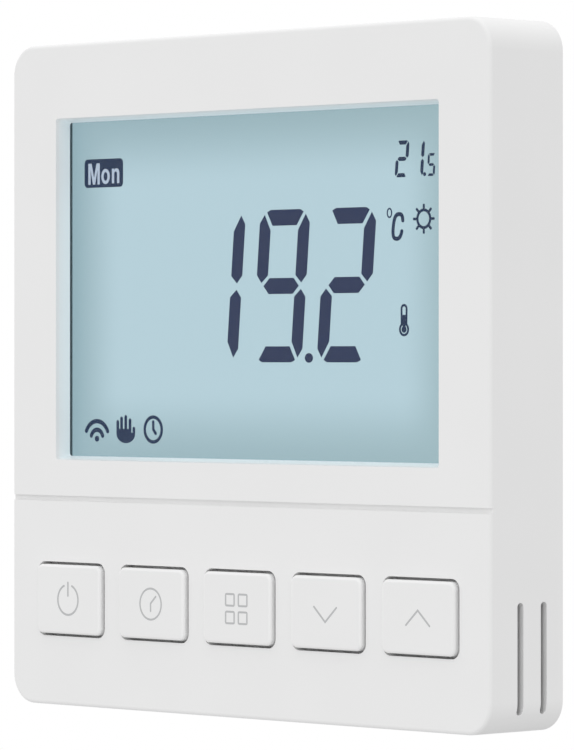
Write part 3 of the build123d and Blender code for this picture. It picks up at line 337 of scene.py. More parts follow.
def leaded(name, node, lead):
    """A moulded epoxy part with tinned leads: metal where it is further out than its body.

    lead is how far the leads stand out across and up, in millimetres.
    """
    made, tree, spot = start(name)
    low, high = box_mm(node)
    xyz = add(tree, "ShaderNodeSeparateXYZ", links={0: spot})
    sides = []
    for axis, out in ((0, lead[0]), (2, lead[1])):
        far, half = from_middle(tree, xyz.outputs[axis], low[axis] + out, high[axis] - out)
        sides.append(add(tree, "ShaderNodeMath", {1: half + 0.02}, {0: far}, operation="GREATER_THAN"))
    metal = add(tree, "ShaderNodeMath", links={0: sides[0], 1: sides[1]}, operation="MAXIMUM")
    grit_width = 0.15
    grit = add(tree, "ShaderNodeTexNoise", {"Scale": 1 / grit_width, "Detail": 2.0}, {"Vector": spot})
    epoxy, tin = linear("18191B"), linear("C9CBCD")
    plastic = add(tree, "ShaderNodeMix", {6: epoxy, 7: scaled(epoxy, 1.5)}, {0: grit}, data_type="RGBA")
    tone = add(tree, "ShaderNodeMix", {7: tin}, {0: metal, 6: plastic.outputs[2]}, data_type="RGBA")
    polish = add(tree, "ShaderNodeMapRange", {"To Min": 0.55, "To Max": 0.3}, {"Value": metal})
    return finished(made, links={"Base Color": tone.outputs[2], "Metallic": metal, "Roughness": polish})


def striped(name, first, second, axis, pitch, roughness):
    """Thin layers or turns side by side: rubber and carbon layers, or lapped tape."""
    made, tree, spot = start(name)
    values = {"Scale": 0.314 / pitch, "Distortion": 0.4, "Detail": 1.0}
    wave = add(tree, "ShaderNodeTexWave", values, {"Vector": spot}, bands_direction=axis)
    values = {6: linear(first), 7: linear(second)}
    tone = add(tree, "ShaderNodeMix", values, {0: wave.outputs[1]}, data_type="RGBA")
    values = {"Strength": 0.6, "Distance": pitch * 0.3 * MM}
    bump = add(tree, "ShaderNodeBump", values, {"Height": wave.outputs[1]})
    return finished(made, {"Roughness": roughness}, {"Base Color": tone.outputs[2], "Normal": bump})


# ---------------------------------------------------------------------------------- flat drawings


def arc(centre, radius, first, last, steps=24, square=2.0):
    """Points on an arc, by angle in degrees from +X towards +Z.

    radius is one number or one for each axis, and square over 2 gives straighter sides and tighter corners.
    """
    across, up = radius if isinstance(radius, tuple) else (radius, radius)
    points = []
    for i in range(steps + 1):
        angle = math.radians(first + (last - first) * i / steps)
        x, z = [math.copysign(abs(v) ** (2 / square), v) for v in (math.cos(angle), math.sin(angle))]
        points.append((centre[0] + across * x, centre[1] + up * z))
    return points


def rounded(centre, width, height, radius, steps=6):
    """Outline of a rectangle with round corners."""
    points = []
    for right, up, first in ((1, 1, 0), (-1, 1, 90), (-1, -1, 180), (1, -1, 270)):
        corner = (centre[0] + right * (width / 2 - radius), centre[1] + up * (height / 2 - radius))
        points += arc(corner, radius, first, first + 90, steps)
    return points


class Drawing:
    """Flat shapes drawn in millimetres in the X-Z plane, which become one thin solid piece."""

    def __init__(self):
        self.mesh = bmesh.new()

    def outline(self, points):
        """Fills one closed outline."""
        self.mesh.faces.new([self.mesh.verts.new((x, 0.0, z)) for x, z in points])

    def band(self, points, width, closed=False):
        """Fills a line of even width, mitred at its corners, with round ends if it is open."""
        path = [Vector(p) for p in points]
        count = len(path)
        edges = []
        for i, here in enumerate(path):
            runs = []
            if closed or i > 0:
                runs.append((here - path[i - 1]).normalized())
            if closed or i < count - 1:
                runs.append((path[(i + 1) % count] - here).normalized())
            along = sum(runs, Vector((0.0, 0.0))).normalized()
            side = Vector((-along.y, along.x))
            first_side = Vector((-runs[0].y, runs[0].x))
            reach = side * (width / 2 / side.dot(first_side))
            edges.append([self.mesh.verts.new((p.x, 0.0, p.y)) for p in (here + reach, here - reach)])
        for i in range(count if closed else count - 1):
            (a, b), (c, d) = edges[i], edges[(i + 1) % count]
            self.mesh.faces.new((a, b, d, c))
        if not closed:
            for i, way in ((0, path[0] - path[1]), (count - 1, path[-1] - path[-2])):
                angle = math.degrees(math.atan2(way.y, way.x))
                cap = arc(path[i], width / 2, angle - 90, angle + 90, 8)[1:-1]
                ends = edges[i] if i == 0 else edges[i][::-1]
                round_end = [self.mesh.verts.new((x, 0.0, z)) for x, z in cap]
                self.mesh.faces.new([ends[0], *round_end, ends[1]])

    def disc(self, centre, radius, steps=24):
        """Fills a circle, or an ellipse if radius is two numbers."""
        self.outline(arc(centre, radius, 0, 360, steps)[:-1])

    def mesh_at(self, y, thickness):
        """The drawing as a mesh in metres, from depth y by a thickness, which is negative to the front."""
        bm = self.mesh
        bmesh.ops.remove_doubles(bm, verts=bm.verts, dist=1e-5)
        top = bmesh.ops.extrude_face_region(bm, geom=bm.faces[:])["geom"]
        moved = [v for v in top if isinstance(v, bmesh.types.BMVert)]
        bmesh.ops.translate(bm, verts=moved, vec=(0.0, thickness, 0.0))
        bmesh.ops.transform(bm, matrix=Matrix.Translation((0.0, y, 0.0)), verts=bm.verts)
        bmesh.ops.scale(bm, vec=(MM, MM, MM), verts=bm.verts)
        bmesh.ops.recalc_face_normals(bm, faces=bm.faces)
        made = bpy.data.meshes.new("drawing")
        bm.to_mesh(made)
        bm.free()
        return made


LIT_BARS = {
    "0": "abcdef", "1": "bc", "2": "abged", "3": "abgcd", "4": "fgbc",
    "5": "afgcd", "6": "afgedc", "7": "abc", "8": "abcdefg", "9": "abcdfg",
}


def digit_bars(width, height, stroke):
    """Outlines of the seven bars of a digit by their usual letters, from its left edge and its middle."""
    top, t = height / 2, stroke
    left = [(0.4 * t, top - 0.3 * t), (0.0, top - 0.85 * t), (0.0, 0.7 * t), (0.45 * t, 0.2 * t),
            (t, 0.675 * t), (t, top - 1.3 * t)]
    cross = [(0.6 * t, top - 0.15 * t), (0.925 * t, top), (width - 0.925 * t, top),
             (width - 0.6 * t, top - 0.15 * t), (width - 1.15 * t, top - t), (1.15 * t, top - t)]
    middle = [(0.65 * t, 0.0), (1.15 * t, 0.5 * t), (width - 1.15 * t, 0.5 * t), (width - 0.65 * t, 0.0),
              (width - 1.15 * t, -0.5 * t), (1.15 * t, -0.5 * t)]
    return {
        "a": cross, "g": middle, "d": [(x, -z) for x, z in cross],
        "f": left, "e": [(x, -z) for x, z in left],
        "b": [(width - x, z) for x, z in left], "c": [(width - x, -z) for x, z in left],
    }


def draw_digit(drawing, figure, place, size, slant):
    """Draws one seven-bar digit: place is its left edge and middle, size its width, height and stroke."""
    for bar in LIT_BARS[figure]:
        points = digit_bars(*size)[bar]
        drawing.outline([(place[0] + x + slant * z, place[1] + z) for x, z in points])


def on_glass(name, drawing, ink, lift=0.0):
    """Keeps a drawing as ink on the front of the display glass, or lifted in front of other ink."""
    keep(name, drawing.mesh_at(GLASS_FRONT - lift, -INK_T), "front_unit", ink)


# --------------------------------------------------------------------------------- Geometry Nodes


def new_rule(name, **inputs):
    """An empty Geometry Nodes tree with named inputs: the tree and where the inputs come in."""
    tree = bpy.data.node_groups.new(name, "GeometryNodeTree")
    for label, kind in inputs.items():
        tree.interface.new_socket(label, in_out="INPUT", socket_type="NodeSocket" + kind)
    tree.interface.new_socket("Geometry", in_out="OUTPUT", socket_type="NodeSocketGeometry")
    return tree, add(tree, "NodeGroupInput").outputs


def end_rule(tree, geometry, finish):
    """Makes the geometry plain mesh, gives it its finish and sends it out of the rule."""
    solid = add(tree, "GeometryNodeRealizeInstances", links={0: geometry})
    done = add(tree, "GeometryNodeSetMaterial", links={"Geometry": solid, "Material": finish})
    add(tree, "NodeGroupOutput", links={0: done})


def grow(rule, name, values, body):
    """Runs a rule with its inputs set, and keeps what it makes as a plain mesh piece."""
    holder = bpy.data.objects.new(name, bpy.data.meshes.new(name))
    bpy.context.scene.collection.objects.link(holder)
    modifier = holder.modifiers.new("rule", "NODES")
    modifier.node_group = rule
    for socket in rule.interface.items_tree:
        if socket.in_out == "INPUT":
            modifier[socket.identifier] = values[socket.name]
    ready = holder.evaluated_get(bpy.context.evaluated_depsgraph_get())
    made = bpy.data.meshes.new_from_object(ready)
    holder.modifiers.clear()
    bpy.data.objects.remove(holder)
    return keep(name, made, body)


def repeat(rule, name, mesh, values):
    """Grows a rule that repeats one mesh on the front unit, from an object that is removed afterwards."""
    shape = bpy.data.objects.new("shape", mesh)
    bpy.context.scene.collection.objects.link(shape)
    grow(rule, name, {**values, "Shape": shape}, "front_unit")
    bpy.data.objects.remove(shape)


def upright(tree, flat, centre):
    """Stands points of the floor plane up, facing the front, round a centre."""
    links = {"Geometry": flat, "Translation": centre}
    return add(tree, "GeometryNodeTransform", {"Rotation": (math.pi / 2, 0.0, 0.0)}, links)


def grid_rule():
    """Repeats a shape on an upright grid, leaving some places empty at random."""
    tree, take = new_rule("repeat_on_grid", Shape="Object", Columns="Int", Rows="Int", Width="Float",
                          Height="Float", Centre="Vector", Empty="Float", Seed="Int", Finish="Material")
    grid = add(tree, "GeometryNodeMeshGrid", links={
        "Size X": take["Width"], "Size Y": take["Height"],
        "Vertices X": take["Columns"], "Vertices Y": take["Rows"]})
    links = {"Probability": take["Empty"], "Seed": take["Seed"]}
    chance = add(tree, "FunctionNodeRandomValue", links=links, data_type="BOOLEAN")
    links = {"Geometry": upright(tree, grid, take["Centre"]), "Selection": chance.outputs[3]}
    thinned = add(tree, "GeometryNodeDeleteGeometry", links=links, domain="POINT")
    shape = add(tree, "GeometryNodeObjectInfo", links={"Object": take["Shape"]})
    links = {"Points": thinned, "Instance": shape.outputs["Geometry"]}
    placed = add(tree, "GeometryNodeInstanceOnPoints", links=links)
    end_rule(tree, placed, take["Finish"])
    return tree


def ring_rule():
    """Repeats a shape evenly round an upright circle, turned to point outwards."""
    tree, take = new_rule("repeat_round_circle", Shape="Object", Count="Int", Radius="Float",
                          Centre="Vector", Finish="Material")
    circle = add(tree, "GeometryNodeMeshCircle", links={"Vertices": take["Count"], "Radius": take["Radius"]})
    index = add(tree, "GeometryNodeInputIndex")
    share = add(tree, "ShaderNodeMath", links={0: index, 1: take["Count"]}, operation="DIVIDE")
    angle = add(tree, "ShaderNodeMath", {1: -math.tau}, {0: share}, operation="MULTIPLY")
    turn = add(tree, "ShaderNodeCombineXYZ", links={1: angle})
    shape = add(tree, "GeometryNodeObjectInfo", links={"Object": take["Shape"]})
    placed = add(tree, "GeometryNodeInstanceOnPoints", links={
        "Points": upright(tree, circle, take["Centre"]), "Instance": shape.outputs["Geometry"],
        "Rotation": turn})
    end_rule(tree, placed, take["Finish"])
    return tree


def coil_rule():
    """Winds a wire into a coil whose axis lies along X."""
    tree, take = new_rule("wind_coil", Turns="Float", Radius="Float", Length="Float", Wire="Float",
                          Start="Vector", Finish="Material")
    spiral = add(tree, "GeometryNodeCurveSpiral", {"Resolution": 28}, {
        "Rotations": take["Turns"], "Start Radius": take["Radius"], "End Radius": take["Radius"],
        "Height": take["Length"]})
    links = {"Geometry": spiral, "Translation": take["Start"]}
    lying = add(tree, "GeometryNodeTransform", {"Rotation": (0.0, math.pi / 2, 0.0)}, links)
    section = add(tree, "GeometryNodeCurvePrimitiveCircle", {"Resolution": 6}, {"Radius": take["Wire"]})
    links = {"Curve": lying, "Profile Curve": section}
    wire = add(tree, "GeometryNodeCurveToMesh", {"Fill Caps": True}, links)
    smooth = add(tree, "GeometryNodeSetShadeSmooth", links={0: wire})
    end_rule(tree, smooth, take["Finish"])
    return tree


# ----------------------------------------------------------------------------------- small solids


def block(centre, size, edge):
    """A small block with bevelled edges, in millimetres round the origin of the shape."""
    bm = bmesh.new()
    bmesh.ops.create_cube(bm, size=1.0)
    bmesh.ops.scale(bm, vec=size, verts=bm.verts)
    bmesh.ops.translate(bm, vec=centre, verts=bm.verts)
    bmesh.ops.bevel(bm, geom=bm.edges[:], offset=edge, segments=2, affect="EDGES", profile=0.5)
    return bm


def dome(x, z, radius, height):
    """A solder joint: a concave cone of solder round the end of a lead, standing towards +Y."""
    point = 0.35
    bm = bmesh.new()
    rings = []
    for level in (0.0, 0.25, 0.6, 1.0):
        size = radius * (point + (1 - point) * (1 - level) ** 2)
        points = arc((x, z), size, 0, 330, 11)
        rings.append([bm.verts.new((across, level * height, up)) for across, up in points])
    for lower, upper in zip(rings, rings[1:]):
        for i in range(len(lower)):
            j = (i + 1) % len(lower)
            bm.faces.new((lower[i], lower[j], upper[j], upper[i]))
    bm.faces.new(rings[0])
    bm.faces.new(rings[-1])
    return bm


def joined(*solids):
    """Several small solids as one mesh in metres, with their faces outwards."""
    whole = bmesh.new()
    for bm in solids:
        bmesh.ops.recalc_face_normals(bm, faces=bm.faces)
        part = bpy.data.meshes.new("part")
        bm.to_mesh(part)
        bm.free()
        whole.from_mesh(part)
    bmesh.ops.scale(whole, vec=(MM, MM, MM), verts=whole.verts)
    made = bpy.data.meshes.new("joined")
    whole.to_mesh(made)
    whole.free()
    return made


# ---------------------------------------------------------------------------------- user settings


def colour(name, description, code):
    """A colour setting, from its default in hex."""
    return bpy.props.FloatVectorProperty(
        name=name, description=description, default=linear(code)[:3], subtype="COLOR", size=3, min=0.0,
        max=1.0)


def number(name, description, default, **limits):
    """A setting that is one number."""
    return bpy.props.FloatProperty(name=name, description=description, default=default, **limits)


def words(name, description, default):
    """A setting that is text, such as a hex colour."""
    return bpy.props.StringProperty(name=name, description=description, default=default)


class ThermostatCase(bpy.types.PropertyGroup):
    """Colours of the housings and keys."""

    cover: words("Cover", "Hex colour of the front cover", "F0F0F0")
    keys: words("Keys", "Hex colour of the five keys", "F0F0F0")
    housing: words("Housing", "Hex colour of the rear housing", "DEDEDA")
    grain: number("Grain", "Size of the moulded grain in millimetres", 0.22, min=0.05, max=2.0)
    # painted shade: how much of the cover's colour is kept on the flanks of the air slots
    painted_slot_shade: number("Painted_slot_shade", "How much of the colour is left in the air slots", 0.68, min=0.0, max=1.0)
    # painted light: a tint above one that makes the edge of the window paler and bluer, for the display's
    # light on it
    painted_display_light: bpy.props.FloatVectorProperty(
        name="Window edge", description="Tint that the display gives to the edge of its window", size=3,
        default=(1.02, 1.1, 1.13))
    prints: colour("Key marks", "Colour of the marks printed on the keys", "B9BABB")
    print_width: number("Mark width", "Line width of the marks on the keys in millimetres", 0.25, min=0.05)


class ThermostatDisplay(bpy.types.PropertyGroup):
    """What the display shows, and its colours."""

    reading: words("Reading", "Room temperature shown large", "19.2")
    target: words("Target", "Set temperature shown small", "21.5")
    digit: bpy.props.FloatVectorProperty(
        name="Digit", description="Width, height and stroke of a large digit in millimetres", size=3,
        default=(8.9, 19.1, 2.0), min=0.1)
    pitch: number("Pitch", "From one large digit to the next in millimetres", 11.55, min=1.0)
    slant: number("Slant", "How far a digit leans to the right, per unit of height", 0.083)
    lit: colour("Lit glass", "Colour of the middle of the display", "B9D5DF")
    # painted shade: the colours of the glass at its edges are darker than its middle, for the shade of the
    # window frame
    left_edge_shade: colour("Left edge", "Colour of the glass at its left edge", "9CB9C2")
    right_edge_shade: colour("Right edge", "Colour of the glass at its right edge", "9FBBC2")
    ink: colour("Large ink", "Colour of the large digits", "25396C")
    small_ink: colour("Small ink", "Colour of the small signs", "103666")
    fade: number("Fade", "How far in the edges of the glass are darker, in millimetres", 9.0, min=0.1)
    brightness: number("Brightness", "Strength of the backlight", 1.15, min=0.0)


class ThermostatStage(bpy.types.PropertyGroup):
    """Camera, light and floor."""

    azimuth: number("Azimuth", "Where the camera stands, right of straight ahead", math.radians(45.535),
                    subtype="ANGLE")
    distance: number("Distance", "From the middle of the face to the camera", 0.61676, unit="LENGTH")
    side_step: number("Side step", "How far the camera stands to its own right", 0.005926, unit="LENGTH")
    height: number("Height", "How far the camera stands above the centre", 0.00192, unit="LENGTH")
    lens: number("Lens", "Focal length in millimetres", 236.4, subtype="DISTANCE_CAMERA")
    shift: number("Shift", "Vertical shift of the lens", -0.0203)
    level: number("Fill", "Light that comes evenly from everywhere", 0.86)
    slope: bpy.props.FloatVectorProperty(
        name="Slope", description="How much brighter it is towards +X, +Y and +Z", size=3,
        default=(0.0, -0.13, 0.1))
    overhead: number("Overhead", "Extra light from a large soft box above", 0.35)
    floor_drop: number("Floor", "How far below the wall unit the floor is", 0.9, unit="LENGTH")


SETTINGS = {"case": ThermostatCase, "display": ThermostatDisplay, "stage": ThermostatStage}


def setting(name):
    """One of the three groups of settings, as the scene holds it."""
    return getattr(bpy.context.scene, "thermostat_" + name)


# -------------------------------------------------------------------------------------- operators


class THERMOSTAT_OT_case(bpy.types.Operator):
    """Finishes the moulded parts: front cover, keys, rear housing and power cover"""

    bl_idname = "thermostat.case"
    bl_label = "Finish the case"

    def execute(self, context):
        case = setting("case")
        # ASA cover and keys: matt, non-yellowing white
        cover = moulded("asa_cover", case.cover, 0.46, case.grain)
        low, high = box_mm("front_cover")
        # painted shade: the flanks of the air slots are darkened in colour, standing in for the shade inside
        # them
        slot_low = (high.x - COVER_WALL + 0.1, SLOT_NEAR, SLOT_BOTTOM)
        slot_high = (high.x - 0.45, SLOT_FAR, SLOT_TOP)
        tinted(cover, slot_low, slot_high, (case.painted_slot_shade,) * 3, both_sides=True)
        # painted light: the edge of the window, from just behind the face to the lens, is made paler and
        # bluer in colour, standing in for the display's light on it
        out = 0.65
        edge_low = (-WINDOW_HALF_W - out, low.y + 0.1, WINDOW_Z - WINDOW_HALF_H - out)
        edge_high = (WINDOW_HALF_W + out, LENS_LOW.y + 0.6, WINDOW_Z + WINDOW_HALF_H + out)
        tinted(cover, edge_low, edge_high, case.painted_display_light, soft=0.6)
        paint(cover, "front_cover")
        paint(moulded("asa_keys", case.keys, 0.42, case.grain), *of_keys("button"))
        # flame-retardant polycarbonate behind: a little greyer and coarser
        housing = moulded("polycarbonate_housing", case.housing, 0.5, case.grain * 1.4)
        paint(housing, "rear_housing", "power_cover")
        return {"FINISHED"}


class THERMOSTAT_OT_display(bpy.types.Operator):
    """Finishes the lens, the lit glass and what holds and lights them"""

    bl_idname = "thermostat.display"
    bl_label = "Finish the display"

    def tape(self):
        """Foam tape between lens and glass, set back a little from the edge of the window, in a grey-blue
        that is painted shade: it stands in for the dark gap between the glass and the edge of the window.
        """
        set_back = 0.72
        inner = (2 * (WINDOW_HALF_W + set_back), 2 * (WINDOW_HALF_H + set_back))
        across = (LENS_HIGH.x - LENS_LOW.x - inner[0]) / 2
        up = (LENS_HIGH.z - LENS_LOW.z - inner[1]) / 2
        corners = [(s * (inner[0] + across) / 2, WINDOW_Z + t * (inner[1] + up) / 2)
                   for s, t in ((1, 1), (-1, 1), (-1, -1), (1, -1))]
        drawing = Drawing()
        drawing.band(corners, min(across, up), closed=True)
        mesh = drawing.mesh_at(GLASS_FRONT, LENS_HIGH.y - GLASS_FRONT)
        # painted shade: the tape's grey-blue stands in for the shade in the gap at the edge of the window
        keep("lens_tape", mesh, "front_unit", moulded("foam_tape_painted_gap_shade", "7C8A90", 0.8, 0.3))

    def execute(self, context):
        paint(clear_acrylic("acrylic_lens", 0.16, "3A4448"), "display_lens")
        paint(lit_glass("polarised_lit_glass", setting("display")), "lcd_front_glass", "lcd_rear_glass")
        paint(clear_acrylic("acrylic_light_guide", 0.5, "DCE9EC"), "light_guide")
        film = moulded("white_polyester_film", "F2F2F0", 0.35, 0.4)
        paint(film, "backlight_diffuser", "backlight_reflector")
        paint(moulded("white_abs_holder", "E6E6E3", 0.5), "lcd_holder")
        paint(moulded("yellow_phosphor_leds", "E9DC7A", 0.4), "backlight_leds")
        paint(striped("layered_contact_rubber", "3A3A3E", "8E8E90", "X", 0.4, 0.7), "zebra_strip")
        self.tape()
        return {"FINISHED"}


class THERMOSTAT_OT_reading(bpy.types.Operator):
    """Draws the large room temperature and the small set temperature as seven-bar digits"""

    bl_idname = "thermostat.reading"
    bl_label = "Draw the digits"

    def draw_number(self, name, figures, digits, point, ink, slant):
        """Draws a number from each digit's place and size, and its point's middle and radii."""
        drawing = Drawing()
        for figure, (place, size) in zip(figures.replace(".", ""), digits):
            draw_digit(drawing, figure, place, size, slant)
        drawing.disc(*point)
        on_glass(name, drawing, ink)

    def execute(self, context):
        display = setting("display")
        last_x, large_z = 11.35, 11.15
        digits = [((last_x + (i - 2) * display.pitch, large_z), tuple(display.digit)) for i in range(3)]
        point = ((9.2, 2.15), (0.72, 0.6))
        navy = printed("lcd_navy", display.ink)
        self.draw_number("room_temperature", display.reading, digits, point, navy, display.slant)
        small, tenth = (2.17, 4.48, 0.5), (1.32, 2.78, 0.33)
        small_z, tenth_z = 26.43, 25.6
        digits = [((24.27, small_z), small), ((26.9, small_z), small), ((29.64, tenth_z), tenth)]
        point = ((29.16, 24.47), (0.26, 0.24))
        slate = printed("lcd_slate", display.small_ink)
        self.draw_number("set_temperature", display.target, digits, point, slate, display.slant)
        return {"FINISHED"}


class THERMOSTAT_OT_signs(bpy.types.Operator):
    """Draws the weekday, the degree sign, the sun, the thermometer, the radio, hand and clock signs"""

    bl_idname = "thermostat.signs"
    bl_label = "Draw the signs"

    def weekday(self, ink):
        """A dark plate with the day's short name in light bold letters: M, o and n."""
        plate = Drawing()
        plate.outline(rounded((-28.65, 26.15), 7.4, 3.7, 0.6))
        on_glass("weekday_plate", plate, ink)
        letters = Drawing()
        stem = 0.43
        self.letter_m(letters, (-31.6, 24.7), 2.2, 2.74, stem)
        letters.band(arc((-28.28, 25.71), (0.59, 0.78), 0, 360, 28)[:-1], stem, closed=True)
        self.letter_n(letters, (-27.06, 24.78), 1.42, 1.95, stem)
        on_glass("weekday_letters", letters, printed("pale_segments", linear("C8D8EC"), 0.4, 0.38), INK_T)

    def letter_m(self, drawing, corner, width, height, stem):
        """M from its lower left corner: its right half's outline, and the same mirrored."""
        half = width / 2
        shoulder, valley = 0.62, 0.85
        foot, armpit = 0.2, 1.95
        right = [(half, valley), (width - shoulder, height), (width, height), (width, 0.0),
                 (width - stem, 0.0), (width - stem, armpit), (half + foot, 0.0)]
        outline = right + [(width - x, z) for x, z in reversed(right[1:])]
        drawing.outline([(corner[0] + x, corner[1] + z) for x, z in outline])

    def letter_n(self, drawing, corner, width, height, stem):
        """A small n from its lower left corner: the stem with its notch, the shoulder and the gap below."""
        bend, rise = 0.55, 0.62
        notch, deep = 0.04, 0.24
        counter, counter_rise = 0.72, 0.3
        outline = [(0.0, 0.0), (0.0, height - notch)]
        outline += [(stem - notch, height - notch), (stem - notch, height - deep)]
        outline += arc((width - bend, height - rise), (bend, rise), 118, 0, 10)
        outline += [(width, 0.0), (width - stem, 0.0)]
        outline += arc((width / 2, height - counter), (width / 2 - stem, counter_rise), 0, 180, 8)
        outline += [(stem, 0.0)]
        drawing.outline([(corner[0] + x, corner[1] + z) for x, z in outline])

    def degrees_celsius(self, drawing):
        drawing.band(arc((23.2, 19.88), (0.37, 0.54), 0, 360, 20)[:-1], 0.19, closed=True)
        lean = 0.14
        centre = (24.64, 18.2)
        curve = arc(centre, (0.78, 1.5), 22, 343, 30, 2.7)
        drawing.band([(x + lean * (z - centre[1]), z) for x, z in curve], 0.51)

    def sun(self, ink):
        """A ring and eight rays."""
        centre = (29.03, 19.05)
        ray_length, ray_width, ray_start = 0.6, 0.34, 1.22
        ray = Drawing()
        ray.outline(rounded((ray_length / 2, 0.0), ray_length, ray_width, 0.12, 3))
        values = {"Count": 8, "Radius": ray_start * MM, "Finish": ink,
                  "Centre": (centre[0] * MM, GLASS_FRONT * MM, centre[1] * MM)}
        repeat(ring_rule(), "sun_rays", ray.mesh_at(0.0, -INK_T), values)
        ring = Drawing()
        ring.band(arc(centre, 1.08, 0, 360, 32)[:-1], 0.36, closed=True)
        on_glass("sun_ring", ring, ink)

    def thermometer(self, drawing):
        x, bulb_z, stem_z = 25.69, 5.63, 8.15
        neck = 36
        outline = arc((x, bulb_z), 0.7, 90 + neck, 450 - neck, 28) + arc((x, stem_z), 0.43, 0, 180, 12)
        drawing.band(outline, 0.3, closed=True)
        half, top = 0.25, 7.4
        column = arc((x, bulb_z), 0.42, 90 + neck, 450 - neck, 20) + [(x + half, top), (x - half, top)]
        drawing.outline(column)

    def radio(self, drawing):
        centre = (-29.95, -8.34)
        for radius, low_end, steps in ((2.28, 26, 24), (1.16, 20, 20)):
            drawing.band(arc(centre, radius, low_end, 180 - low_end, steps), 0.58)
        drawing.disc(centre, (0.43, 0.38))

    def hand(self, drawing):
        left, right, base = -26.2, -22.65, -8.86
        half = 0.25
        valley, thumb_valley = -7.0, -7.5
        fingers = [(0.25, -5.88), (0.97, -5.42), (1.77, -5.2), (2.58, -5.64), (3.32, -6.72)]
        thumb = len(fingers) - 1
        points = []
        for i, (x, tip) in enumerate(fingers):
            before = thumb_valley if i == thumb else valley
            after = thumb_valley if i == thumb - 1 else valley
            points.append((left + x - half, before if i else tip - half))
            points += arc((left + x, tip - half), half, 180, 0, 6)
            if i < thumb:
                points.append((left + x + half, after))
        palm = 1.25
        points += arc(((left + right) / 2, base + palm), ((right - left) / 2, palm), 0, -180, 18)
        drawing.outline(points[::-1])

    def clock(self, drawing):
        x, z = -19.22, -7.04
        drawing.band(arc((x, z), 1.6, 0, 360, 40)[:-1], 0.45, closed=True)
        drawing.band([(x, z + 0.98), (x + 0.02, z), (x + 0.46, z - 0.5)], 0.43)

    def execute(self, context):
        ink = printed("lcd_slate_signs", setting("display").small_ink)
        self.weekday(ink)
        signs = {"degrees_celsius": self.degrees_celsius, "thermometer_sign": self.thermometer,
                 "radio_sign": self.radio, "hand_sign": self.hand, "clock_sign": self.clock}
        for name, draw in signs.items():
            drawing = Drawing()
            draw(drawing)
            on_glass(name, drawing, ink)
        self.sun(ink)
        return {"FINISHED"}


class THERMOSTAT_OT_key_marks(bpy.types.Operator):
    """Prints the power, clock, menu, down and up marks on the keys"""

    bl_idname = "thermostat.key_marks"
    bl_label = "Print the key marks"

    def power(self, drawing, x, z, width):
        gap, bold = 23, width * 1.1
        drawing.band(arc((x, z - 0.03), 1.95, 90 + gap, 450 - gap, 40), bold)
        drawing.band([(x, z + 2.2), (x, z + 0.5)], bold)

    def timer(self, drawing, x, z, width):
        drawing.band(arc((x, z - 0.02), 1.98, 0, 360, 48)[:-1], width, closed=True)
        drawing.band([(x, z - 0.92), (x, z + 0.05), (x + 0.95, z + 0.95)], width)

    def menu(self, drawing, x, z, width):
        across, up = 1.15, 1.11
        for s in (-1, 1):
            for t in (-1, 1):
                square = rounded((x + s * across, z + t * up - 0.08), 1.54, 1.45, 0.15, 2)
                drawing.band(square, width, closed=True)

    def down(self, drawing, x, z, width):
        drawing.band([(x - 1.95, z + 0.7), (x, z - 1.13), (x + 1.95, z + 0.7)], width)

    def up(self, drawing, x, z, width):
        drawing.band([(x - 1.92, z - 0.95), (x + 0.06, z + 0.88), (x + 2.04, z - 0.95)], width)

    def execute(self, context):
        case = setting("case")
        pale_grey = printed("pad_printed_grey", case.prints)
        for key in KEYS:
            cap = f"{key}_button"
            drawing = Drawing()
            getattr(self, key)(drawing, *middle(cap), case.print_width)
            mesh = drawing.mesh_at(box_mm(cap)[0].y + PRINT_T / 2, -PRINT_T)
            keep(f"{key}_mark", mesh, f"{key}_key", pale_grey)
        return {"FINISHED"}


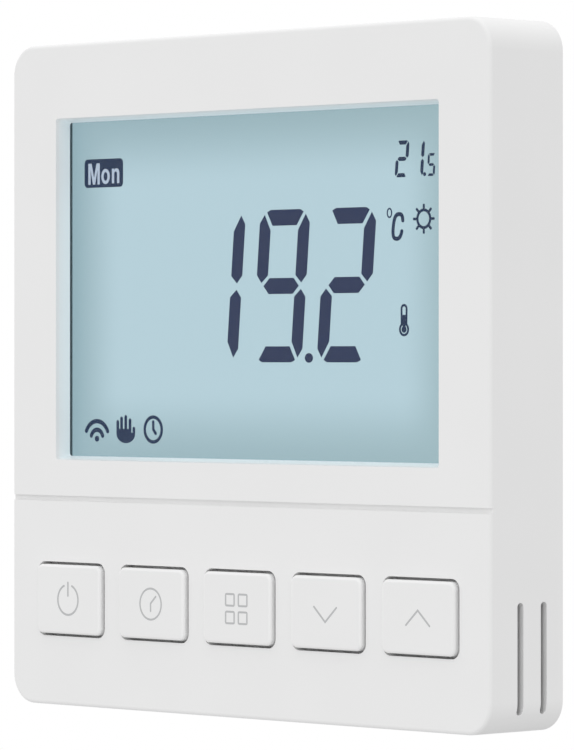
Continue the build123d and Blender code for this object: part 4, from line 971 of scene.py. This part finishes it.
class THERMOSTAT_OT_boards(bpy.types.Operator):
    """Finishes the boards and switches, and sets small parts and solder joints on the main board"""

    bl_idname = "thermostat.boards"
    bl_label = "Finish the boards"

    def small_parts(self, tin):
        """Fields of surface-mounted resistors and capacitors, each a body with two tinned ends.

        A field is the middle of a grid and how many parts it has across and up.
        """
        rule = grid_rule()
        glaze = moulded("chip_resistor_glaze", "1B1C1F", 0.35, 0.3)
        ceramic = moulded("ceramic_capacitor", "8A6A4E", 0.55, 0.3)
        resistors = [((14.0, -9.0), 9, 3), ((-8.0, 31.0), 4, 3), ((-31.0, 10.0), 3, 6)]
        capacitors = [((28.5, 12.0), 4, 4), ((-13.0, -2.0), 4, 4)]
        length, width, end = 1.0, 0.8, 0.34
        end_x = 0.62
        for kind, body, height, pitch, fields in (("resistor", glaze, 0.45, (2.2, 3.4), resistors),
                                                  ("capacitor", ceramic, 0.8, (2.6, 4.0), capacitors)):
            core = joined(block((0.0, height / 2, 0.0), (length, height, width), 0.05))
            end_size = (end, height + 0.04, width + 0.04)
            ends = joined(*[block((s * end_x, height / 2, 0.0), end_size, 0.06) for s in (-1, 1)])
            for count, (place, columns, rows) in enumerate(fields, 1):
                values = {"Columns": columns, "Rows": rows,
                          "Width": (columns - 1) * pitch[0] * MM, "Height": (rows - 1) * pitch[1] * MM,
                          "Centre": (place[0] * MM, BOARD_REAR * MM, place[1] * MM),
                          "Empty": 0.25, "Seed": 7 * count + columns}
                repeat(rule, f"{kind}_bodies_{count}", core, {**values, "Finish": body})
                repeat(rule, f"{kind}_ends_{count}", ends, {**values, "Finish": tin})

    def solder_joints(self, tin):
        """Four joints behind each of the five key switches."""
        leg_x, leg_z = 3.25, 2.25
        legs = joined(*[dome(s * leg_x, t * leg_z, 0.75, 0.7) for s in (-1, 1) for t in (-1, 1)])
        first, last = [middle(node) for node in (of_keys("button")[0], of_keys("button")[-1])]
        values = {"Columns": len(KEYS), "Rows": 1, "Width": (last[0] - first[0]) * MM, "Height": 0.0,
                  "Centre": (0.0, BOARD_REAR * MM, first[1] * MM), "Empty": 0.0, "Seed": 1, "Finish": tin}
        repeat(grid_rule(), "switch_solder_joints", legs, values)

    def board_print(self):
        """White screen-printed outlines round the larger parts of the main board."""
        drawing = Drawing()
        gaps = {"microcontroller": 0.6, "wifi_board": 0.5, "board_socket": 0.6, "clock_crystal": 0.5}
        for node, gap in gaps.items():
            low, high = box_mm(node)
            outline = rounded(middle(node), high.x - low.x + 2 * gap, high.z - low.z + 2 * gap, 0.3, 2)
            drawing.band(outline, 0.18, closed=True)
        white = printed("board_legend_white", linear("E8E8E2"))
        keep("board_legend", drawing.mesh_at(BOARD_REAR, INK_T), "front_unit", white)

    def execute(self, context):
        paint(circuit_board("solder_resist_green", "0E4A2A"), "main_board", "power_board", "wifi_board")
        lead = 1.1
        paint(leaded("epoxy_moulded_chip", "microcontroller", (lead, lead)), "microcontroller")
        paint(leaded("epoxy_supply_chip", "supply_chip", (0.0, lead)), "supply_chip")
        black = moulded("black_glass_filled_nylon", "1E1F21", 0.5, 0.2)
        paint(black, "board_socket", "header_base", "rectifier_diodes", "relay_base", "switch_bases",
              "temperature_sensor")
        steel = plated("tin_plated_steel", "C4C6C8", 0.3, (0.4, 6.0, 6.0))
        paint(steel, "wifi_shield", "switch_covers", "switch_domes", "clock_crystal")
        paint(moulded("black_acetal_plungers", "222326", 0.38), *of_keys("plunger"))
        tin = plated("bright_tin", "D9DADB", 0.28)
        self.small_parts(tin)
        self.solder_joints(tin)
        self.board_print()
        return {"FINISHED"}


class THERMOSTAT_OT_metalwork(bpy.types.Operator):
    """Finishes the bracket, screws, pins, terminals, relay and power parts, and winds the relay coil"""

    bl_idname = "thermostat.metalwork"
    bl_label = "Finish the metalwork"

    def wind_coil(self, enamel):
        """The relay coil as real turns of enamelled wire on its former."""
        wire = 0.19
        low, high = box_mm("relay_winding")
        length = high.x - low.x - 2 * wire
        start_at = Vector((low.x + wire, (low.y + high.y) / 2, (low.z + high.z) / 2))
        values = {"Turns": float(int(length / (2 * wire))), "Radius": ((high.z - low.z) / 2 - wire) * MM,
                  "Length": length * MM, "Wire": wire * MM, "Start": start_at * MM, "Finish": enamel}
        coil = grow(coil_rule(), "relay_coil_turns", values, "base_unit")
        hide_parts("relay_winding")

    def execute(self, context):
        self.wind_coil(plated("enamelled_copper", "B4622F", 0.25, (0.5, 0.5, 0.5)))
        zinc = plated("zinc_plated_steel", "B9BCC1", 0.28, (0.5, 0.5, 0.5))
        iron = plated("nickel_plated_iron", "AFAEAA", 0.38, (3.0, 0.5, 0.5))
        paint(galvanised("galvanised_sheet"), "mounting_bracket")
        paint(zinc, "board_screws", "power_cover_screws", "terminal_screws")
        paint(plated("gold_plated_brass", "E0BE6A", 0.22, (0.3, 3.0, 0.3)), "header_pins")
        paint(plated("nickel_plated_brass", "CDC4A8", 0.3), "terminal_clamps")
        paint(plated("cartridge_brass", "D2B572", 0.3), "relay_contact")
        paint(iron, "relay_yoke", "relay_armature")
        paint(moulded("green_polyamide_terminals", "2F6B45", 0.45), "terminal_block")
        paint(moulded("black_relay_case", "17181A", 0.3, 0.3), "relay_case")
        paint(moulded("black_phenolic_former", "26221F", 0.55), "transformer_bobbin", "relay_bobbin")
        paint(moulded("sintered_ferrite", "2C2B2B", 0.75, 0.35, 0.03), "transformer_core")
        paint(striped("yellow_polyester_tape", "E3C53C", "D2B22F", "Z", 3.0, 0.3), "transformer_winding")
        paint(moulded("blue_shrink_sleeve", "1F2C57", 0.3, 0.5), "electrolytic_capacitors")
        paint(moulded("yellow_polypropylene_case", "D9B327", 0.4), "film_capacitor")
        paint(moulded("dipped_blue_epoxy", "2B55A0", 0.35, 0.9, 0.06), "varistor")
        paint(moulded("black_fuse_case", "202123", 0.45), "fuse")
        return {"FINISHED"}


class THERMOSTAT_OT_stage(bpy.types.Operator):
    """Sets up the pale floor, the soft white light and the camera"""

    bl_idname = "thermostat.stage"
    bl_label = "Set the stage"

    def floor(self, stage):
        """A wide pale disc below the wall unit, which doesn't shade or colour it."""
        bm = bmesh.new()
        bmesh.ops.create_circle(bm, cap_ends=True, radius=9.0, segments=96)
        bmesh.ops.translate(bm, vec=(0.0, 0.0, CAD_LOW.z - stage.floor_drop), verts=bm.verts)
        mesh = bpy.data.meshes.new("studio_floor")
        bm.to_mesh(mesh)
        bm.free()
        mesh.materials.append(moulded("matt_pale_floor", "E3E3E2", 0.8, 2.0))
        ground = bpy.data.objects.new("studio_floor", mesh)
        bpy.context.scene.collection.objects.link(ground)
        ground.visible_diffuse = False
        ground.visible_glossy = False

    def sky(self, stage):
        """White to the eye, and a broad soft light that is brightest above and in front."""
        world = bpy.data.worlds.new("white_studio")
        world.use_nodes = True
        tree = world.node_tree
        tree.nodes.clear()
        way = add(tree, "ShaderNodeTexCoord").outputs["Generated"]
        slope = add(tree, "ShaderNodeVectorMath", {1: tuple(stage.slope)}, {0: way}, operation="DOT_PRODUCT")
        level = add(tree, "ShaderNodeMath", {1: stage.level}, {0: slope.outputs["Value"]}, operation="ADD")
        rise = add(tree, "ShaderNodeSeparateXYZ", links={0: way})
        above = add(tree, "ShaderNodeMath", {1: 0.0}, {0: rise.outputs[2]}, operation="MAXIMUM")
        soft = add(tree, "ShaderNodeMath", {1: 2.0}, {0: above}, operation="POWER")
        links = {0: soft, 2: level}
        light = add(tree, "ShaderNodeMath", {1: stage.overhead}, links, operation="MULTIPLY_ADD")
        links = {0: add(tree, "ShaderNodeLightPath").outputs["Is Camera Ray"], 2: light}
        strength = add(tree, "ShaderNodeMix", {3: 1.0}, links, data_type="FLOAT")
        back = add(tree, "ShaderNodeBackground", {"Color": (1.0, 1.0, 1.0, 1.0)}, {"Strength": strength})
        add(tree, "ShaderNodeOutputWorld", links={0: back})
        bpy.context.scene.world = world

    def camera(self, stage):
        right = Vector((math.cos(stage.azimuth), math.sin(stage.azimuth), 0.0))
        back = Vector((math.sin(stage.azimuth), -math.cos(stage.azimuth), 0.0))
        eye = Vector((0.0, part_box("front_cover")[0].y, stage.height))
        lens = bpy.data.cameras.new("camera")
        lens.sensor_width = 36.0
        lens.lens = stage.lens
        lens.shift_y = stage.shift
        camera = bpy.data.objects.new("camera", lens)
        camera.location = eye + back * stage.distance + right * stage.side_step
        camera.rotation_euler = (math.pi / 2, 0.0, stage.azimuth)
        bpy.context.scene.collection.objects.link(camera)
        bpy.context.scene.camera = camera

    def execute(self, context):
        stage = setting("stage")
        self.floor(stage)
        self.sky(stage)
        self.camera(stage)
        context.scene.view_settings.view_transform = "Standard"
        return {"FINISHED"}


class THERMOSTAT_PT_panel(bpy.types.Panel):
    """Settings and steps of the thermostat"""

    bl_idname = "THERMOSTAT_PT_panel"
    bl_label = "Wall thermostat"
    bl_space_type = "VIEW_3D"
    bl_region_type = "UI"
    bl_category = "Thermostat"

    def draw(self, context):
        for name, group in SETTINGS.items():
            box = self.layout.box()
            box.label(text=name.capitalize())
            for item in group.__annotations__:
                box.prop(setting(name), item)
        for step in STEPS:
            self.layout.operator(step.bl_idname)


STEPS = (
    THERMOSTAT_OT_case,
    THERMOSTAT_OT_display,
    THERMOSTAT_OT_reading,
    THERMOSTAT_OT_signs,
    THERMOSTAT_OT_key_marks,
    THERMOSTAT_OT_boards,
    THERMOSTAT_OT_metalwork,
    THERMOSTAT_OT_stage,
)


def register():
    for group in SETTINGS.values():
        bpy.utils.register_class(group)
    for step in (*STEPS, THERMOSTAT_PT_panel):
        bpy.utils.register_class(step)
    for name, group in SETTINGS.items():
        setattr(bpy.types.Scene, "thermostat_" + name, bpy.props.PointerProperty(type=group))


def unregister():
    for name in SETTINGS:
        delattr(bpy.types.Scene, "thermostat_" + name)
    for made in (THERMOSTAT_PT_panel, *reversed(STEPS), *SETTINGS.values()):
        bpy.utils.unregister_class(made)


def main():
    """Runs every step in order."""
    register()
    for step in STEPS:
        name = step.bl_idname.split(".")[1]
        getattr(bpy.ops.thermostat, name)()


if __name__ == "__main__":
    main()
